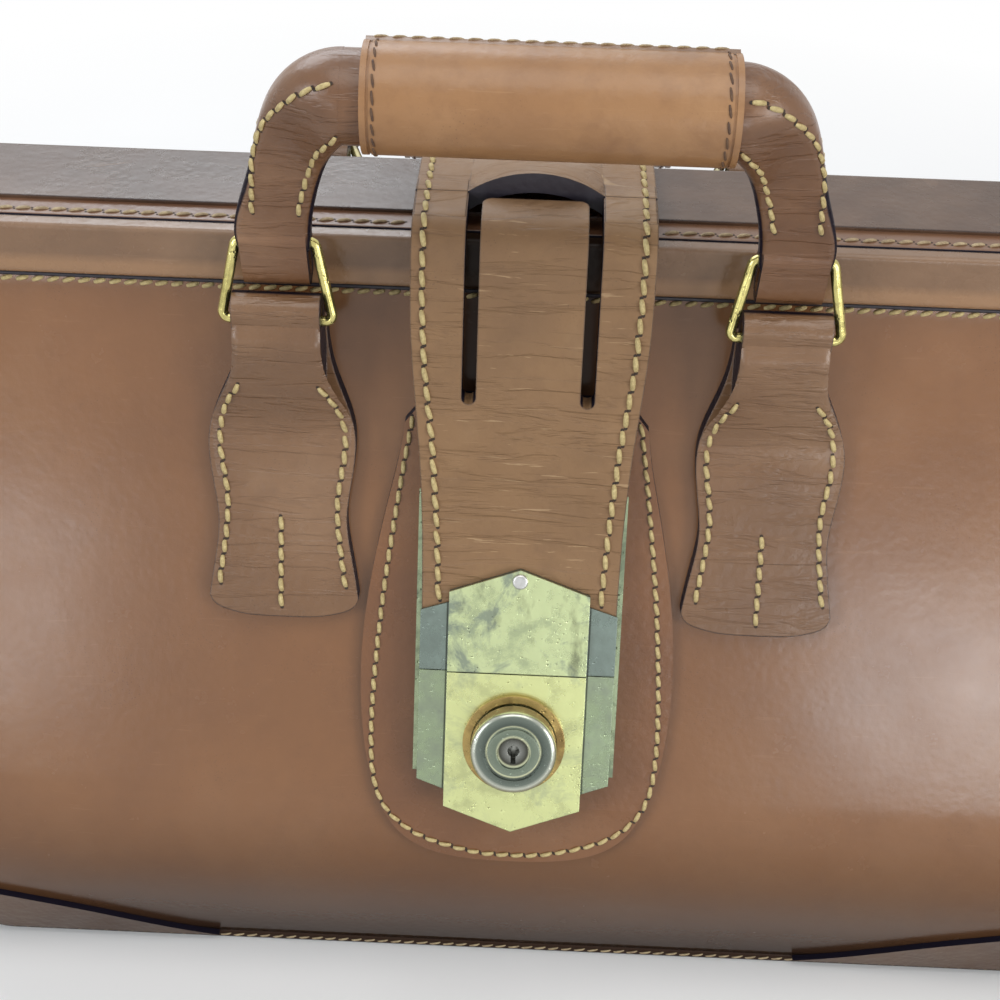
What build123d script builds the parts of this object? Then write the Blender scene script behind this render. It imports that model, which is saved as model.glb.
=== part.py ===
from build123d import *
from functools import lru_cache
import math
import os

# Frame-top leather case. Millimetres, X along the case, -Y is the front, Z up.
# The origin is the middle of the underside.

# Leather body
BASE_HALF_WIDTH = 197.0
BELLY_HALF_WIDTH = 202.0
TOP_HALF_WIDTH = 196.5
BASE_HALF_DEPTH = 74.0
BELLY_HALF_DEPTH = 87.5
BASE_CORNER = 24.0
BELLY_CORNER = 27.0
TOP_CORNER = 9.0
FOLD_Z = 48.0  # height of the soft fold on which the front leans out
SLOPE_START_Z = 82.0  # above this the front and back are flat and lean in
SLOPE_SETBACK = 6.3  # the slope starts this far behind the belly
BELLY_EASE = 0.6  # and the belly has drawn in this much halfway to it
FOLD_WIDENING = 0.92  # share of the ends' widening that is reached at the fold
LOW_CURVE = ((1 / 3, 0.45, 0.42), (2 / 3, 0.75, 0.78))  # shares of the height, width and depth under it
COLLAR_Z = 234.0  # the body goes straight up above this, inside the rails
COLLAR_TOP_Z = 247.0
COLLAR_HALF_DEPTH = 20.3
WALL = 4.0  # leather with its stiffener
LINING = 1.2
LINING_GAP = 0.2
LINING_TOP_Z = 232.0
LINING_SEAM_GAP = 1.0  # the linings stop this much shorter of the seams than the leather
SEAM_TOP_Y = 8.0  # where the end gussets meet the front and back, at the top
SEAM_FOLD_Y = 50.0  # and at the fold
JOINT_GAP = 0.35  # between leather pieces that part when the case opens

# Base
WELT_HEIGHT = 4.6
WELT_STANDOFF = 1.8
WELT_ROUND = 1.7
BOTTOM_LEATHER = 4.0
BASE_BOARD = 3.5
BASE_INSET = 5.0  # the welt's inner edge, in from the body's outline
BASE_FIT = 0.2  # between the base pieces
PATCH_LEATHER = 2.4
PATCH_REACH = 97.0  # how far a corner patch runs along the front, from the end
PATCH_END_REACH = 52.0  # and along the end
PATCH_HEIGHT = 44.0
PATCH_FOLD_GAP = 1.0  # the patches stop this far under the fold
PATCH_FRONT_BEND = (0.42, 0.46)  # shares of the reach and height where the top edge bends, on the front
PATCH_END_BEND = (0.4, 0.35)  # and on the end

# Top frame
RAIL_DEPTH = 5.0
RAIL_GAP = 0.3
RAIL_BOTTOM_Z = 234.5
RAIL_TOP_Z = 251.0
RAIL_CORNER = 12.0
RAIL_ROUND = 2.2
TOP_Z = 252.4
TOP_LEATHER = 3.9
FLANGE_EDGE_Y = -19.7
FLANGE_BACK_Y = -10.2
FLANGE_TOP_Z = 251.2
FLANGE_LEATHER = 2.2
FLANGE_HALF_LENGTH = 192.0
FRAME_STEEL = 3.0
FRAME_BAR_HEIGHT = 12.5
FRAME_BAR_TOP_Z = 245.5
FRAME_ARM_WIDTH = 12.0
FRAME_GAP = 0.6  # between the steel and the leather it stiffens
FRAME_END_GAP = 2.9  # between the outer arms and the lining at the ends
FRAME_ARM_GAP = 0.7  # between the front arm and the rear arm
FRAME_FOOT = 7.0  # the arms end this far under the end pins
FRAME_SHOULDER = 8.0  # and are cut back this far above them and under the bar
FRAME_SET = 0.8  # the front arms stand this far forward of the pins' middle
REAR_ARM_HALF = 6.0
END_PIN_Y = -4.0
END_PIN_Z = 187.0
END_PIN_RADIUS = 3.0
END_PIN_HEAD_RADIUS = 5.5
END_PIN_HEAD = 1.6
END_PIN_CLEARANCE = 0.5
END_PIN_FIT = 0.05
END_PIN_TAIL = 1.8  # how far a pin stands in past the rear arm

# Lock, drawn on the sloping front: x across, v up the slope, n out of the leather
LOCK_Z = 105.3  # height of the knob's axis on the leather
LOCK_PATCH = 3.0
LOCK_PATCH_TOP_Z = 204.5
LOCK_PATCH_BOTTOM_Z = 62.5
LOCK_PATCH_TOP_HALF = 36.5
LOCK_PATCH_WIDE_HALF = 47.5
LOCK_PATCH_CHAMFER = (7.0, 8.0)  # cut off the patch's top corners
SKIN_FIT = 0.05  # between the body and leather sewn on it
PLATE_FIT = 0.1  # between the lock patch and the backplate
STRAP_SEAT = 0.3  # between the backplate and the strap
BACKPLATE = 1.2
BACKPLATE_HALF = 31.5
BACKPLATE_TOP_V = 80.0
BACKPLATE_CHAMFER = (3.5, 3.0)
PLATE_WING_HALF = 29.8
PLATE_CENTRE_HALF = 21.2
PLATE_SPLIT_V = 22.3  # the line where the hasp meets the lock
LOCK_WING_V = -14.1
LOCK_WING_DROP = 3.2
LOCK_CHEVRON_V = -22.3
LOCK_TIP_V = -30.1
HASP_WING_V = 41.3
HASP_WING_RISE = 2.7
HASP_CHEVRON_V = 47.7
HASP_TIP_V = 55.3
WING_STEP = 1.6  # the wings lie this much lower than the centre
LOCK_FACE_N = 12.8
FACE_GAP = 0.4
HASP_RISE = 0.2  # the hasp's centre stands this much prouder than the lock's
HASP_LEAST = 1.4  # thickness that its wings keep over the strap
HASP_RIVET_V = 51.8
HASP_RIVET_RADIUS = 2.4
HASP_RIVET_HEIGHT = 1.0
STAPLE_WIRE = 2.4
STAPLE_HALF = 6.0
COLLAR_RADIUS = 15.7
COLLAR_HEIGHT = 1.8
KNOB_RADIUS = 13.1
KNOB_HEIGHT = 9.4
KNOB_NECK_RADIUS = 10.6
KNOB_FIT = 0.06
KNOB_TRAVEL = 2.5
KNOB_STOP = 0.3  # the knob's head ends its travel this far off the lock
KNOB_ROUND = 1.6
KNOB_WELL = 6.0
PLUG_RADIUS = 4.9
PLUG_FIT = 0.05
PLUG_DEPTH = 7.0
FACE_RING_RADIUS = 8.4
FACE_RING_GROOVE = 0.8
FACE_RING_DEPTH = 0.6
KEYHOLE_WIDTH = 2.4
KEYHOLE_LENGTH = 7.4
KEYHOLE_DEPTH = 5.0

# Strap
STRAP = 6.0
STRAP_TOP_HALF = 34.5
STRAP_WAIST_HALF = 31.4
STRAP_NARROW_TOP_Z = 240.0  # the strap narrows from here down
STRAP_WAIST_Z = 196.0
STRAP_SETTLE_V = 66.0  # where the strap reaches the backplate
STRAP_FRONT_BENDS = (9.0, 40.0)
STRAP_END_HALF = 29.2
STRAP_CUT_Y = -17.3  # the cross cut where the strap bends
STRAP_CUT_Z = 262.5  # its upper surface there
STRAP_CUT_GAP = 0.3
STRAP_STANDOFF = 6.5  # between the rail and the strap
STRAP_ARCH_RISE = 6.2  # the leather behind the cut bulges up this far
STRAP_ARCH_LENGTH = 27.0
STRAP_END_V = 30.0
STRAP_TAIL_Z = 196.0
STRAP_BACK_BENDS = (60.0, 6.0, 5.0)
TONGUE_SHORT = 2.2  # the tongue ends this far before the cut
CUT_LAP = 4.0  # the strap's two paths run this far past the cut before they are trimmed
SLOT_WIDTH = 4.1
SLOT_CENTRE_X = 17.2
SLOT_END_Z = 212.0
TONGUE_ROUND = 3.0

# Rings, chapes and handles
RING_X = 72.8
RING_WIRE = 3.0
RING_WIDE_INSIDE = 29.4
RING_NARROW_INSIDE = 19.6
RING_HEIGHT = 23.5
RING_BEND = 2.0
FRONT_RING_Y = -38.0
FRONT_RING_Z = 230.0
FRONT_RING_LEAN = -8.6  # the front rings lean back on the rail
FRONT_HANDLE_LEAN = 15.2  # and the front handle leans forward
REAR_RING_Y = 37.5
REAR_RING_Z = 244.0
REAR_LEAN = -102.0  # the rear rings and handle lie back
EYE_CLEARANCE = 0.35
CHAPE_LEATHER = 4.5
CHAPE_LOOP_WIDTH = 25.5
CHAPE_LOOP_LEATHER = 3.3
CHAPE_LOOP_FOOT_Z = 216.0
CHAPE_BLEND_Z = 200.0  # the loop's front leaf runs down into the chape here
FRONT_LOOP_SLACK = 3.2
REAR_LOOP_SLACK = 1.8
CHAPE_TOP_Z = 227.0
CHAPE_BOTTOM_Z = 141.0
CHAPE_HALF_WIDTHS = {  # height: half width on the side away from the lock, and beside it
    210.0: (15.5, 15.5),
    194.0: (22.0, 21.5),
    171.0: (19.8, 19.6),
    145.0: (22.4, 23.4),
}
CHAPE_CUSP = 2.0  # the bottom edge dips this much in its middle
LEG_THICKNESS = 7.6
LEG_WIDTH = 20.4
LEG_LOOP_WIDTH = 18.8
LEG_LOOP_LEATHER = 3.0
LEG_LOOP_DROP = 9.8
GRIP_HEIGHT = 51.0  # from the ring's narrow bar to the middle of the grip
GRIP_LENGTH = 95.6
GRIP_RADIUS = 14.4
GRIP_LEATHER = 1.9
GRIP_FIT = 0.2
GRIP_SHIFT = 2.6  # the front sleeve sits off the middle
HEM_INSET = 2.0
HEM_DEPTH = 0.4

# Cutting blocks reach past the body on every side
SIDE_MARGIN = 38.0
TOP_MARGIN = 1.3
FAR = max(BASE_HALF_WIDTH, BELLY_HALF_WIDTH, TOP_HALF_WIDTH) + SIDE_MARGIN
TALL = STRAP_CUT_Z + STRAP_ARCH_RISE + TOP_MARGIN

# Slope of the front and back, from the flat part of the body
SLOPE = (BELLY_HALF_DEPTH - SLOPE_SETBACK - COLLAR_HALF_DEPTH) / (COLLAR_Z - SLOPE_START_Z)
LEAN = math.degrees(math.atan(SLOPE))
SLOPE_START_HALF_DEPTH = COLLAR_HALF_DEPTH + SLOPE * (COLLAR_Z - SLOPE_START_Z)


def half_depth(z):
    """Half the body's depth on the flat, leaning part of its front."""
    return COLLAR_HALF_DEPTH + SLOPE * (COLLAR_Z - z)


def half_width(z):
    """Half the body's length on its straight, leaning ends."""
    return blend(BELLY_HALF_WIDTH, TOP_HALF_WIDTH, (z - SLOPE_START_Z) / (COLLAR_Z - SLOPE_START_Z))


LOCK_PLANE = Plane(
    origin=(0, -half_depth(LOCK_Z), LOCK_Z),
    x_dir=(1, 0, 0),
    z_dir=(0, -math.cos(math.radians(LEAN)), math.sin(math.radians(LEAN))),
)


def on_lock(v, n):
    """Y and Z of a point of the lock plane, v up the slope and n off the leather."""
    point = LOCK_PLANE.from_local_coords(Vector(0, v, n))
    return (point.Y, point.Z)


def section(z, half_width, half_deep, corner, grow):
    """One rounded outline of the body, grown outwards by grow."""
    outline = RectangleRounded(
        2 * (half_width + grow), 2 * (half_deep + grow), max(corner + grow, 1.5)
    )
    return Plane.XY.offset(z) * outline


def blend(low, high, share):
    """A value between low and high."""
    return low + (high - low) * share


@lru_cache
def envelope(grow):
    """The body's outer form, grown outwards by grow (inwards where negative)."""
    stations = [(0.0, BASE_HALF_WIDTH, BASE_HALF_DEPTH, BASE_CORNER)]
    for height_share, width_share, depth_share in LOW_CURVE:
        stations.append((
            height_share * FOLD_Z,
            blend(BASE_HALF_WIDTH, BELLY_HALF_WIDTH, width_share),
            blend(BASE_HALF_DEPTH, BELLY_HALF_DEPTH, depth_share),
            blend(BASE_CORNER, BELLY_CORNER, height_share),
        ))
    fold_half_width = blend(BASE_HALF_WIDTH, BELLY_HALF_WIDTH, FOLD_WIDENING)
    stations += [
        (FOLD_Z, fold_half_width, BELLY_HALF_DEPTH, BELLY_CORNER),
        (blend(FOLD_Z, SLOPE_START_Z, 0.4), BELLY_HALF_WIDTH, BELLY_HALF_DEPTH - BELLY_EASE, BELLY_CORNER),
        (SLOPE_START_Z, BELLY_HALF_WIDTH, SLOPE_START_HALF_DEPTH, BELLY_CORNER),
    ]
    lower = loft([section(*station, grow).face() for station in stations])
    upper = loft(
        [
            section(SLOPE_START_Z, BELLY_HALF_WIDTH, SLOPE_START_HALF_DEPTH, BELLY_CORNER, grow).face(),
            section(COLLAR_Z, TOP_HALF_WIDTH, COLLAR_HALF_DEPTH, TOP_CORNER, grow).face(),
        ],
        ruled=True,
    )
    collar = extrude(
        section(COLLAR_Z, TOP_HALF_WIDTH, COLLAR_HALF_DEPTH, TOP_CORNER, grow),
        COLLAR_TOP_Z - COLLAR_Z,
    )
    return lower + upper + collar


def side_block(points, low_x, high_x):
    """A block with an outline given as (y, z) points, from low_x to high_x."""
    face = make_face(Polyline(*[(low_x, y, z) for y, z in points], close=True))
    return extrude(face, high_x - low_x, dir=(1, 0, 0))


def front_block(face, low_y, high_y):
    """Extrudes a face drawn in x and z from low_y to high_y."""
    return extrude(Plane.XZ.offset(-low_y) * face, high_y - low_y, dir=(0, 1, 0))


def front_region(gap):
    """The space of the swinging front half, gap short of its seams."""
    return side_block(
        [
            (-FAR, FOLD_Z),
            (-SEAM_FOLD_Y - gap, FOLD_Z),
            (-SEAM_TOP_Y - gap, COLLAR_TOP_Z),
            (-SEAM_TOP_Y - gap, TALL),
            (-FAR, TALL),
        ],
        -FAR,
        FAR,
    )


def low_front_region():
    """The space of the low front wall, under the fold."""
    return side_block(
        [(-FAR, 0), (-SEAM_FOLD_Y, 0), (-SEAM_FOLD_Y, FOLD_Z - JOINT_GAP), (-FAR, FOLD_Z - JOINT_GAP)],
        -FAR,
        FAR,
    )


def rear_region():
    """The space of the back panel."""
    return side_block(
        [(FAR, 0), (SEAM_FOLD_Y, 0), (SEAM_FOLD_Y, FOLD_Z), (SEAM_TOP_Y, COLLAR_TOP_Z),
         (SEAM_TOP_Y, TALL), (FAR, TALL)],
        -FAR,
        FAR,
    )


def height_band(low_z, high_z):
    """A slab of space between two heights."""
    return Pos(0, 0, (low_z + high_z) / 2) * Box(2 * FAR, 2 * FAR, high_z - low_z)


def wall_parts():
    """The leather walls: front, low front, back and two end gussets."""
    shell = (envelope(0) - envelope(-WALL)) & height_band(WELT_HEIGHT, COLLAR_TOP_Z)
    front = shell & front_region(JOINT_GAP)
    low_front = shell & low_front_region()
    rear = shell & rear_region()
    ends = shell - front_region(0) - side_block(
        [(-FAR, 0), (-SEAM_FOLD_Y, 0), (-SEAM_FOLD_Y, FOLD_Z), (-FAR, FOLD_Z)], -FAR, FAR
    ) - rear_region()
    left = ends & Pos(-FAR / 2, 0, TALL / 2) * Box(FAR, 2 * FAR, TALL)
    right = ends & Pos(FAR / 2, 0, TALL / 2) * Box(FAR, 2 * FAR, TALL)
    return {
        "front_panel": front,
        "front_lower_wall": low_front,
        "rear_panel": rear,
        "left_end_gusset": left,
        "right_end_gusset": right,
    }


def lining_parts():
    """Thin lining, one piece on the front half and one in the case."""
    outside = -WALL - LINING_GAP
    skin = (envelope(outside) - envelope(outside - LINING)) & height_band(
        BOTTOM_LEATHER + BASE_BOARD + 0.5, LINING_TOP_Z
    )
    front = skin & front_region(JOINT_GAP + LINING_SEAM_GAP)
    front &= height_band(FOLD_Z + 1.5 * LINING_SEAM_GAP, TALL)
    low_z = FOLD_Z - LINING_SEAM_GAP
    rest = skin - front_region(0) & (height_band(0, low_z) + side_block(
        [(-SEAM_FOLD_Y, low_z), (FAR, low_z), (FAR, TALL), (-SEAM_TOP_Y, TALL)], -FAR, FAR
    ))
    return {"front_lining": front, "case_lining": rest}


def base_parts():
    """Bottom leather, its stitched welt and the stiff board over it."""
    outline = (BASE_HALF_WIDTH, BASE_HALF_DEPTH, BASE_CORNER)
    welt = extrude(section(0, *outline, WELT_STANDOFF), WELT_HEIGHT)
    flat_faces = welt.faces().sort_by(Axis.Z)
    welt = fillet(flat_faces[0].edges() + flat_faces[-1].edges(), WELT_ROUND)
    welt -= extrude(section(-1, *outline, -BASE_INSET), WELT_HEIGHT + 2)
    bottom = extrude(section(0, *outline, -BASE_INSET - BASE_FIT), BOTTOM_LEATHER)
    board = extrude(section(BOTTOM_LEATHER + BASE_FIT, *outline, -BASE_INSET - 2 * BASE_FIT), BASE_BOARD)
    return {"bottom_welt": welt, "bottom_panel": bottom, "base_board": board}


def corner_patches():
    """Four moulded leather patches over the bottom corners."""
    skin = envelope(PATCH_LEATHER) - envelope(SKIN_FIT)
    skin &= height_band(WELT_HEIGHT, FOLD_Z - PATCH_FOLD_GAP)
    margin = PATCH_LEATHER + 4
    reach = BELLY_HALF_WIDTH + margin
    start = BASE_HALF_WIDTH - PATCH_REACH
    bend_x, bend_z = PATCH_FRONT_BEND
    front_line = Spline(
        (start, WELT_HEIGHT), (start + bend_x * PATCH_REACH, bend_z * PATCH_HEIGHT), (reach, PATCH_HEIGHT),
        tangents=[(1, 0.25), (1, 0.35)],
    )
    front_view = make_face(
        front_line + Polyline((reach, PATCH_HEIGHT), (reach, 0), (start, 0), (start, WELT_HEIGHT))
    )
    deep = BELLY_HALF_DEPTH + margin
    inside = BASE_HALF_DEPTH - PATCH_END_REACH
    bend_y, bend_z = PATCH_END_BEND
    end_top = PATCH_HEIGHT + 4
    end_line = Spline(
        (inside, WELT_HEIGHT), (inside + bend_y * PATCH_END_REACH, bend_z * PATCH_HEIGHT), (deep, end_top),
        tangents=[(1, 0.12), (1, 0.8)],
    )
    end_view = make_face(
        end_line + Polyline((deep, end_top), (deep, 0), (inside, 0), (inside, WELT_HEIGHT))
    )
    patches = {}
    for side, sign_x in (("left", -1), ("right", 1)):
        for end, sign_y in (("front", -1), ("rear", 1)):
            across = extrude(Plane.XZ * front_view, FAR, both=True)
            along = extrude(Plane.YZ * end_view, FAR, both=True)
            if sign_x < 0:
                across = mirror(across, about=Plane.YZ)
            if sign_y < 0:
                along = mirror(along, about=Plane.XZ)
            quarter = Pos(sign_x * FAR / 2, sign_y * FAR / 2, TALL / 2) * Box(FAR, FAR, TALL)
            patches[f"{end}_{side}_corner_patch"] = skin & across & along & quarter
    return patches


def frame_ring(low_z, high_z):
    """The band of the two rails round the top, before it is parted."""
    outline = (TOP_HALF_WIDTH, COLLAR_HALF_DEPTH, RAIL_CORNER - RAIL_DEPTH)
    outer = section(low_z, *outline, RAIL_GAP + RAIL_DEPTH)
    inner = section(low_z - 1, *outline, RAIL_GAP)
    band = extrude(outer, high_z - low_z)
    band = fillet(band.faces().sort_by(Axis.Z)[0].edges(), RAIL_ROUND)
    return band, extrude(inner, high_z - low_z + 2)


def top_frame_parts():
    """Leather-covered rails, the top panel with its flange, and the steel frame."""
    band, hollow = frame_ring(RAIL_BOTTOM_Z, RAIL_TOP_Z)
    band = fillet(band.faces().sort_by(Axis.Z)[-1].edges(), RAIL_ROUND * 0.6)
    front_rail = (band - hollow) & side_block(
        [(-FAR, 0), (-SEAM_TOP_Y - JOINT_GAP, 0), (-SEAM_TOP_Y - JOINT_GAP, TALL), (-FAR, TALL)], -FAR, FAR
    )
    top_under = TOP_Z - TOP_LEATHER
    band, hollow = frame_ring(RAIL_BOTTOM_Z, top_under)
    rear_rail = (band - hollow) & side_block(
        [(FAR, 0), (-SEAM_TOP_Y, 0), (-SEAM_TOP_Y, TALL), (FAR, TALL)], -FAR, FAR
    )
    outer_half_width = TOP_HALF_WIDTH + RAIL_GAP + RAIL_DEPTH
    outer_half_depth = COLLAR_HALF_DEPTH + RAIL_GAP + RAIL_DEPTH
    plan = Plane.XY.offset(top_under) * RectangleRounded(
        2 * outer_half_width, 2 * outer_half_depth, RAIL_CORNER
    )
    top_panel = extrude(plan, TOP_LEATHER)
    top_panel = fillet(top_panel.faces().sort_by(Axis.Z)[-1].edges(), RAIL_ROUND * 0.7)
    top_panel &= side_block(
        [(FAR, 0), (FLANGE_BACK_Y, 0), (FLANGE_BACK_Y, TALL), (FAR, TALL)], -FAR, FAR
    )
    for sign in (-1, 1):
        notch_x = sign * (FLANGE_HALF_LENGTH + FAR / 2)
        top_panel -= Pos(notch_x, -FAR / 2 - SEAM_TOP_Y, TOP_Z) * Box(FAR, FAR, 20)
    flange_width = FLANGE_BACK_Y - FLANGE_EDGE_Y
    flange_y = (FLANGE_BACK_Y + FLANGE_EDGE_Y) / 2
    flange = Pos(0, flange_y, FLANGE_TOP_Z - FLANGE_LEATHER / 2) * Box(
        2 * FLANGE_HALF_LENGTH, flange_width, FLANGE_LEATHER
    )
    flange = fillet(flange.edges().filter_by(Axis.X).group_by(Axis.Y)[0], FLANGE_LEATHER * 0.4)
    return {
        "front_rail": front_rail,
        "rear_rail": rear_rail,
        "top_panel": top_panel,
        "top_flange": flange,
    }


def frame_bar(sign, arm_x, arm_outline):
    """One steel half frame: a bar along the rail and an arm down each end."""
    face_y = COLLAR_HALF_DEPTH - WALL - FRAME_GAP
    bar = Pos(0, sign * (face_y - FRAME_STEEL / 2), FRAME_BAR_TOP_Z - FRAME_BAR_HEIGHT / 2) * Box(
        2 * arm_x, FRAME_STEEL, FRAME_BAR_HEIGHT
    )
    for side in (-1, 1):
        low = side * arm_x if side > 0 else -arm_x - FRAME_STEEL
        bar += side_block(arm_outline, low, low + FRAME_STEEL)
    return bar


def hinge_frame_parts():
    """The two steel half frames and the pins at their ends."""
    face_y = COLLAR_HALF_DEPTH - WALL - FRAME_GAP
    foot_z = END_PIN_Z - FRAME_FOOT
    front_y = END_PIN_Y - FRAME_SET
    front_outline = [
        (-face_y, FRAME_BAR_TOP_Z),
        (-face_y + FRAME_STEEL, FRAME_BAR_TOP_Z),
        (front_y, FRAME_BAR_TOP_Z - FRAME_SHOULDER),
        (front_y, END_PIN_Z + FRAME_SHOULDER),
        (front_y, foot_z),
        (END_PIN_Y - FRAME_ARM_WIDTH, foot_z),
    ]
    rear_outline = [
        (face_y, FRAME_BAR_TOP_Z),
        (face_y - FRAME_ARM_WIDTH, FRAME_BAR_TOP_Z),
        (END_PIN_Y - REAR_ARM_HALF, END_PIN_Z + REAR_ARM_HALF / 2),
        (END_PIN_Y - REAR_ARM_HALF, foot_z + 1),
        (END_PIN_Y + REAR_ARM_HALF, foot_z + 1),
    ]
    end_half = min(TOP_HALF_WIDTH, half_width(foot_z))
    front_arm_x = end_half - WALL - LINING_GAP - LINING - FRAME_STEEL - FRAME_END_GAP
    rear_arm_x = front_arm_x - FRAME_STEEL - FRAME_ARM_GAP
    front = frame_bar(-1, front_arm_x, front_outline)
    rear = frame_bar(1, rear_arm_x, rear_outline)
    pin_line = Pos(0, END_PIN_Y, END_PIN_Z) * Rot(0, 90, 0)
    front -= pin_line * Cylinder(END_PIN_RADIUS + END_PIN_CLEARANCE, 2 * FAR)
    rear -= pin_line * Cylinder(END_PIN_RADIUS + END_PIN_FIT, 2 * FAR)
    inner = rear_arm_x - END_PIN_TAIL
    outer = front_arm_x + FRAME_STEEL
    pins = []
    for sign in (-1, 1):
        shank = pin_line * Pos(0, 0, sign * (inner + outer) / 2) * Cylinder(END_PIN_RADIUS, outer - inner)
        head = pin_line * Pos(0, 0, sign * (inner - 0.1)) * Cylinder(END_PIN_HEAD_RADIUS, END_PIN_HEAD)
        pins.append(shank + head)
    return {"front_frame_bar": front, "rear_frame_bar": rear, "frame_end_pins": Compound(children=pins)}


def lock_face(points, low_n, high_n):
    """A plate with an outline in the lock plane, symmetric about its middle."""
    mirrored = [(-x, v) for x, v in reversed(points)]
    face = make_face(Polyline(*points, *mirrored, close=True))
    return extrude(LOCK_PLANE.offset(low_n) * face, high_n - low_n)


def lock_parts():
    """The leather patch, the backplate and the lock case with its collar."""
    skin = envelope(LOCK_PATCH) - envelope(SKIN_FIT)
    cut_x, cut_z = LOCK_PATCH_CHAMFER
    shoulder_z = LOCK_PATCH_TOP_Z - cut_z
    left = Spline(
        (-LOCK_PATCH_TOP_HALF, shoulder_z), (-LOCK_PATCH_TOP_HALF - 4, 176),
        (-LOCK_PATCH_WIDE_HALF, 104), (-LOCK_PATCH_WIDE_HALF * 0.72, 70.5), (0, LOCK_PATCH_BOTTOM_Z),
        tangents=[(-0.1, -1), (1, 0)],
    )
    top = Polyline(
        (0, LOCK_PATCH_TOP_Z), (-LOCK_PATCH_TOP_HALF + cut_x, LOCK_PATCH_TOP_Z),
        (-LOCK_PATCH_TOP_HALF, shoulder_z),
    )
    half = make_face(top + left + Line((0, LOCK_PATCH_BOTTOM_Z), (0, LOCK_PATCH_TOP_Z)))
    outline = half + mirror(half, about=Plane.YZ)
    patch = skin & front_block(outline, -FAR, 0) & height_band(0, COLLAR_Z)

    under = LOCK_PATCH + PLATE_FIT
    cut_x, cut_v = BACKPLATE_CHAMFER
    backplate = lock_face(
        [(BACKPLATE_HALF, LOCK_WING_V), (BACKPLATE_HALF, BACKPLATE_TOP_V - cut_v),
         (BACKPLATE_HALF - cut_x, BACKPLATE_TOP_V)],
        under, under + BACKPLATE,
    )
    base_n = under + BACKPLATE
    wings = lock_face(
        [(PLATE_CENTRE_HALF, LOCK_WING_V - LOCK_WING_DROP), (PLATE_WING_HALF, LOCK_WING_V),
         (PLATE_WING_HALF, PLATE_SPLIT_V - FACE_GAP)],
        base_n, LOCK_FACE_N - WING_STEP,
    )
    centre = lock_face(
        [(0.01, LOCK_TIP_V), (PLATE_CENTRE_HALF, LOCK_CHEVRON_V),
         (PLATE_CENTRE_HALF, PLATE_SPLIT_V - FACE_GAP)],
        base_n, LOCK_FACE_N,
    )
    case = wings + centre
    knob_hole = Circle(KNOB_NECK_RADIUS + KNOB_FIT)
    case -= extrude(LOCK_PLANE.offset(LOCK_FACE_N - KNOB_WELL) * knob_hole, KNOB_WELL + 1)
    collar_ring = Circle(COLLAR_RADIUS) - Circle(KNOB_RADIUS + KNOB_FIT)
    collar = extrude(LOCK_PLANE.offset(LOCK_FACE_N) * collar_ring, COLLAR_HEIGHT)
    return {"lock_patch": patch, "lock_backplate": backplate, "lock_case": case, "lock_collar": collar}


def outer_edges(solid):
    """Edges of the face that lies farthest off the leather."""
    return max(solid.faces(), key=lambda face: LOCK_PLANE.to_local_coords(face.center()).Z).edges()


def knob_parts():
    """The push knob and the key plug that turns in its middle."""
    low = LOCK_FACE_N + KNOB_TRAVEL + KNOB_STOP
    high = LOCK_FACE_N + KNOB_HEIGHT
    neck_low = low - KNOB_WELL
    head = extrude(LOCK_PLANE.offset(low) * Circle(KNOB_RADIUS), high - low)
    head = fillet(outer_edges(head), KNOB_ROUND)
    neck = extrude(LOCK_PLANE.offset(neck_low) * Circle(KNOB_NECK_RADIUS), low - neck_low)
    knob = head + neck
    half_groove = FACE_RING_GROOVE / 2
    groove = Circle(FACE_RING_RADIUS + half_groove) - Circle(FACE_RING_RADIUS - half_groove)
    knob -= extrude(LOCK_PLANE.offset(high - FACE_RING_DEPTH) * groove, 2)
    plug_plane = LOCK_PLANE.offset(high - PLUG_DEPTH)
    knob -= extrude(plug_plane * Circle(PLUG_RADIUS + PLUG_FIT), PLUG_DEPTH + 1)
    plug = extrude(plug_plane.offset(0.1) * Circle(PLUG_RADIUS), PLUG_DEPTH - 0.5)
    keyhole = Circle(KEYHOLE_WIDTH * 0.75) + Pos(0, -KEYHOLE_LENGTH * 0.25) * Rectangle(
        KEYHOLE_WIDTH * 0.6, KEYHOLE_LENGTH * 0.6
    )
    plug -= extrude(LOCK_PLANE.offset(high - KEYHOLE_DEPTH) * Pos(0, 0.8) * keyhole, KEYHOLE_DEPTH + 1)
    return {"lock_knob": knob, "key_plug": plug}


def strap_line():
    """Centre line of the strap's front length, from the cross cut to its end."""
    half = STRAP / 2
    cut = (STRAP_CUT_Y + CUT_LAP, STRAP_CUT_Z - half)
    rail_face = COLLAR_HALF_DEPTH + RAIL_GAP + RAIL_DEPTH
    bend = (-rail_face - STRAP_STANDOFF - half + 1.2, STRAP_CUT_Z - half - 2.0)
    seat_n = LOCK_PATCH + PLATE_FIT + BACKPLATE + STRAP_SEAT + half
    settle = on_lock(STRAP_SETTLE_V, seat_n)
    end = on_lock(STRAP_END_V, seat_n)
    return [cut, bend, settle, end]


def side_strip(points, radii, half_width, thickness):
    """A band of leather that follows (y, z) points and is half_width wide each way."""
    path = FilletPolyline(*[(0, y, z) for y, z in points], radius=radii)
    plane = Plane(origin=path @ 0, x_dir=(1, 0, 0), z_dir=path % 0)
    return sweep(plane * Rectangle(2 * half_width, thickness), path=path)


def arch_face(y, top_z, half_width, rise):
    """Section of the strap where its middle bulges up by rise."""
    left, right = -half_width, half_width
    low = top_z - STRAP
    outline = (
        ThreePointArc((left, top_z), (0, top_z + rise), (right, top_z))
        + Line((right, top_z), (right, low))
        + ThreePointArc((right, low), (0, low + rise), (left, low))
        + Line((left, low), (left, top_z))
    )
    return Plane(origin=(0, y, 0), x_dir=(1, 0, 0), z_dir=(0, -1, 0)) * make_face(outline)


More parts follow.
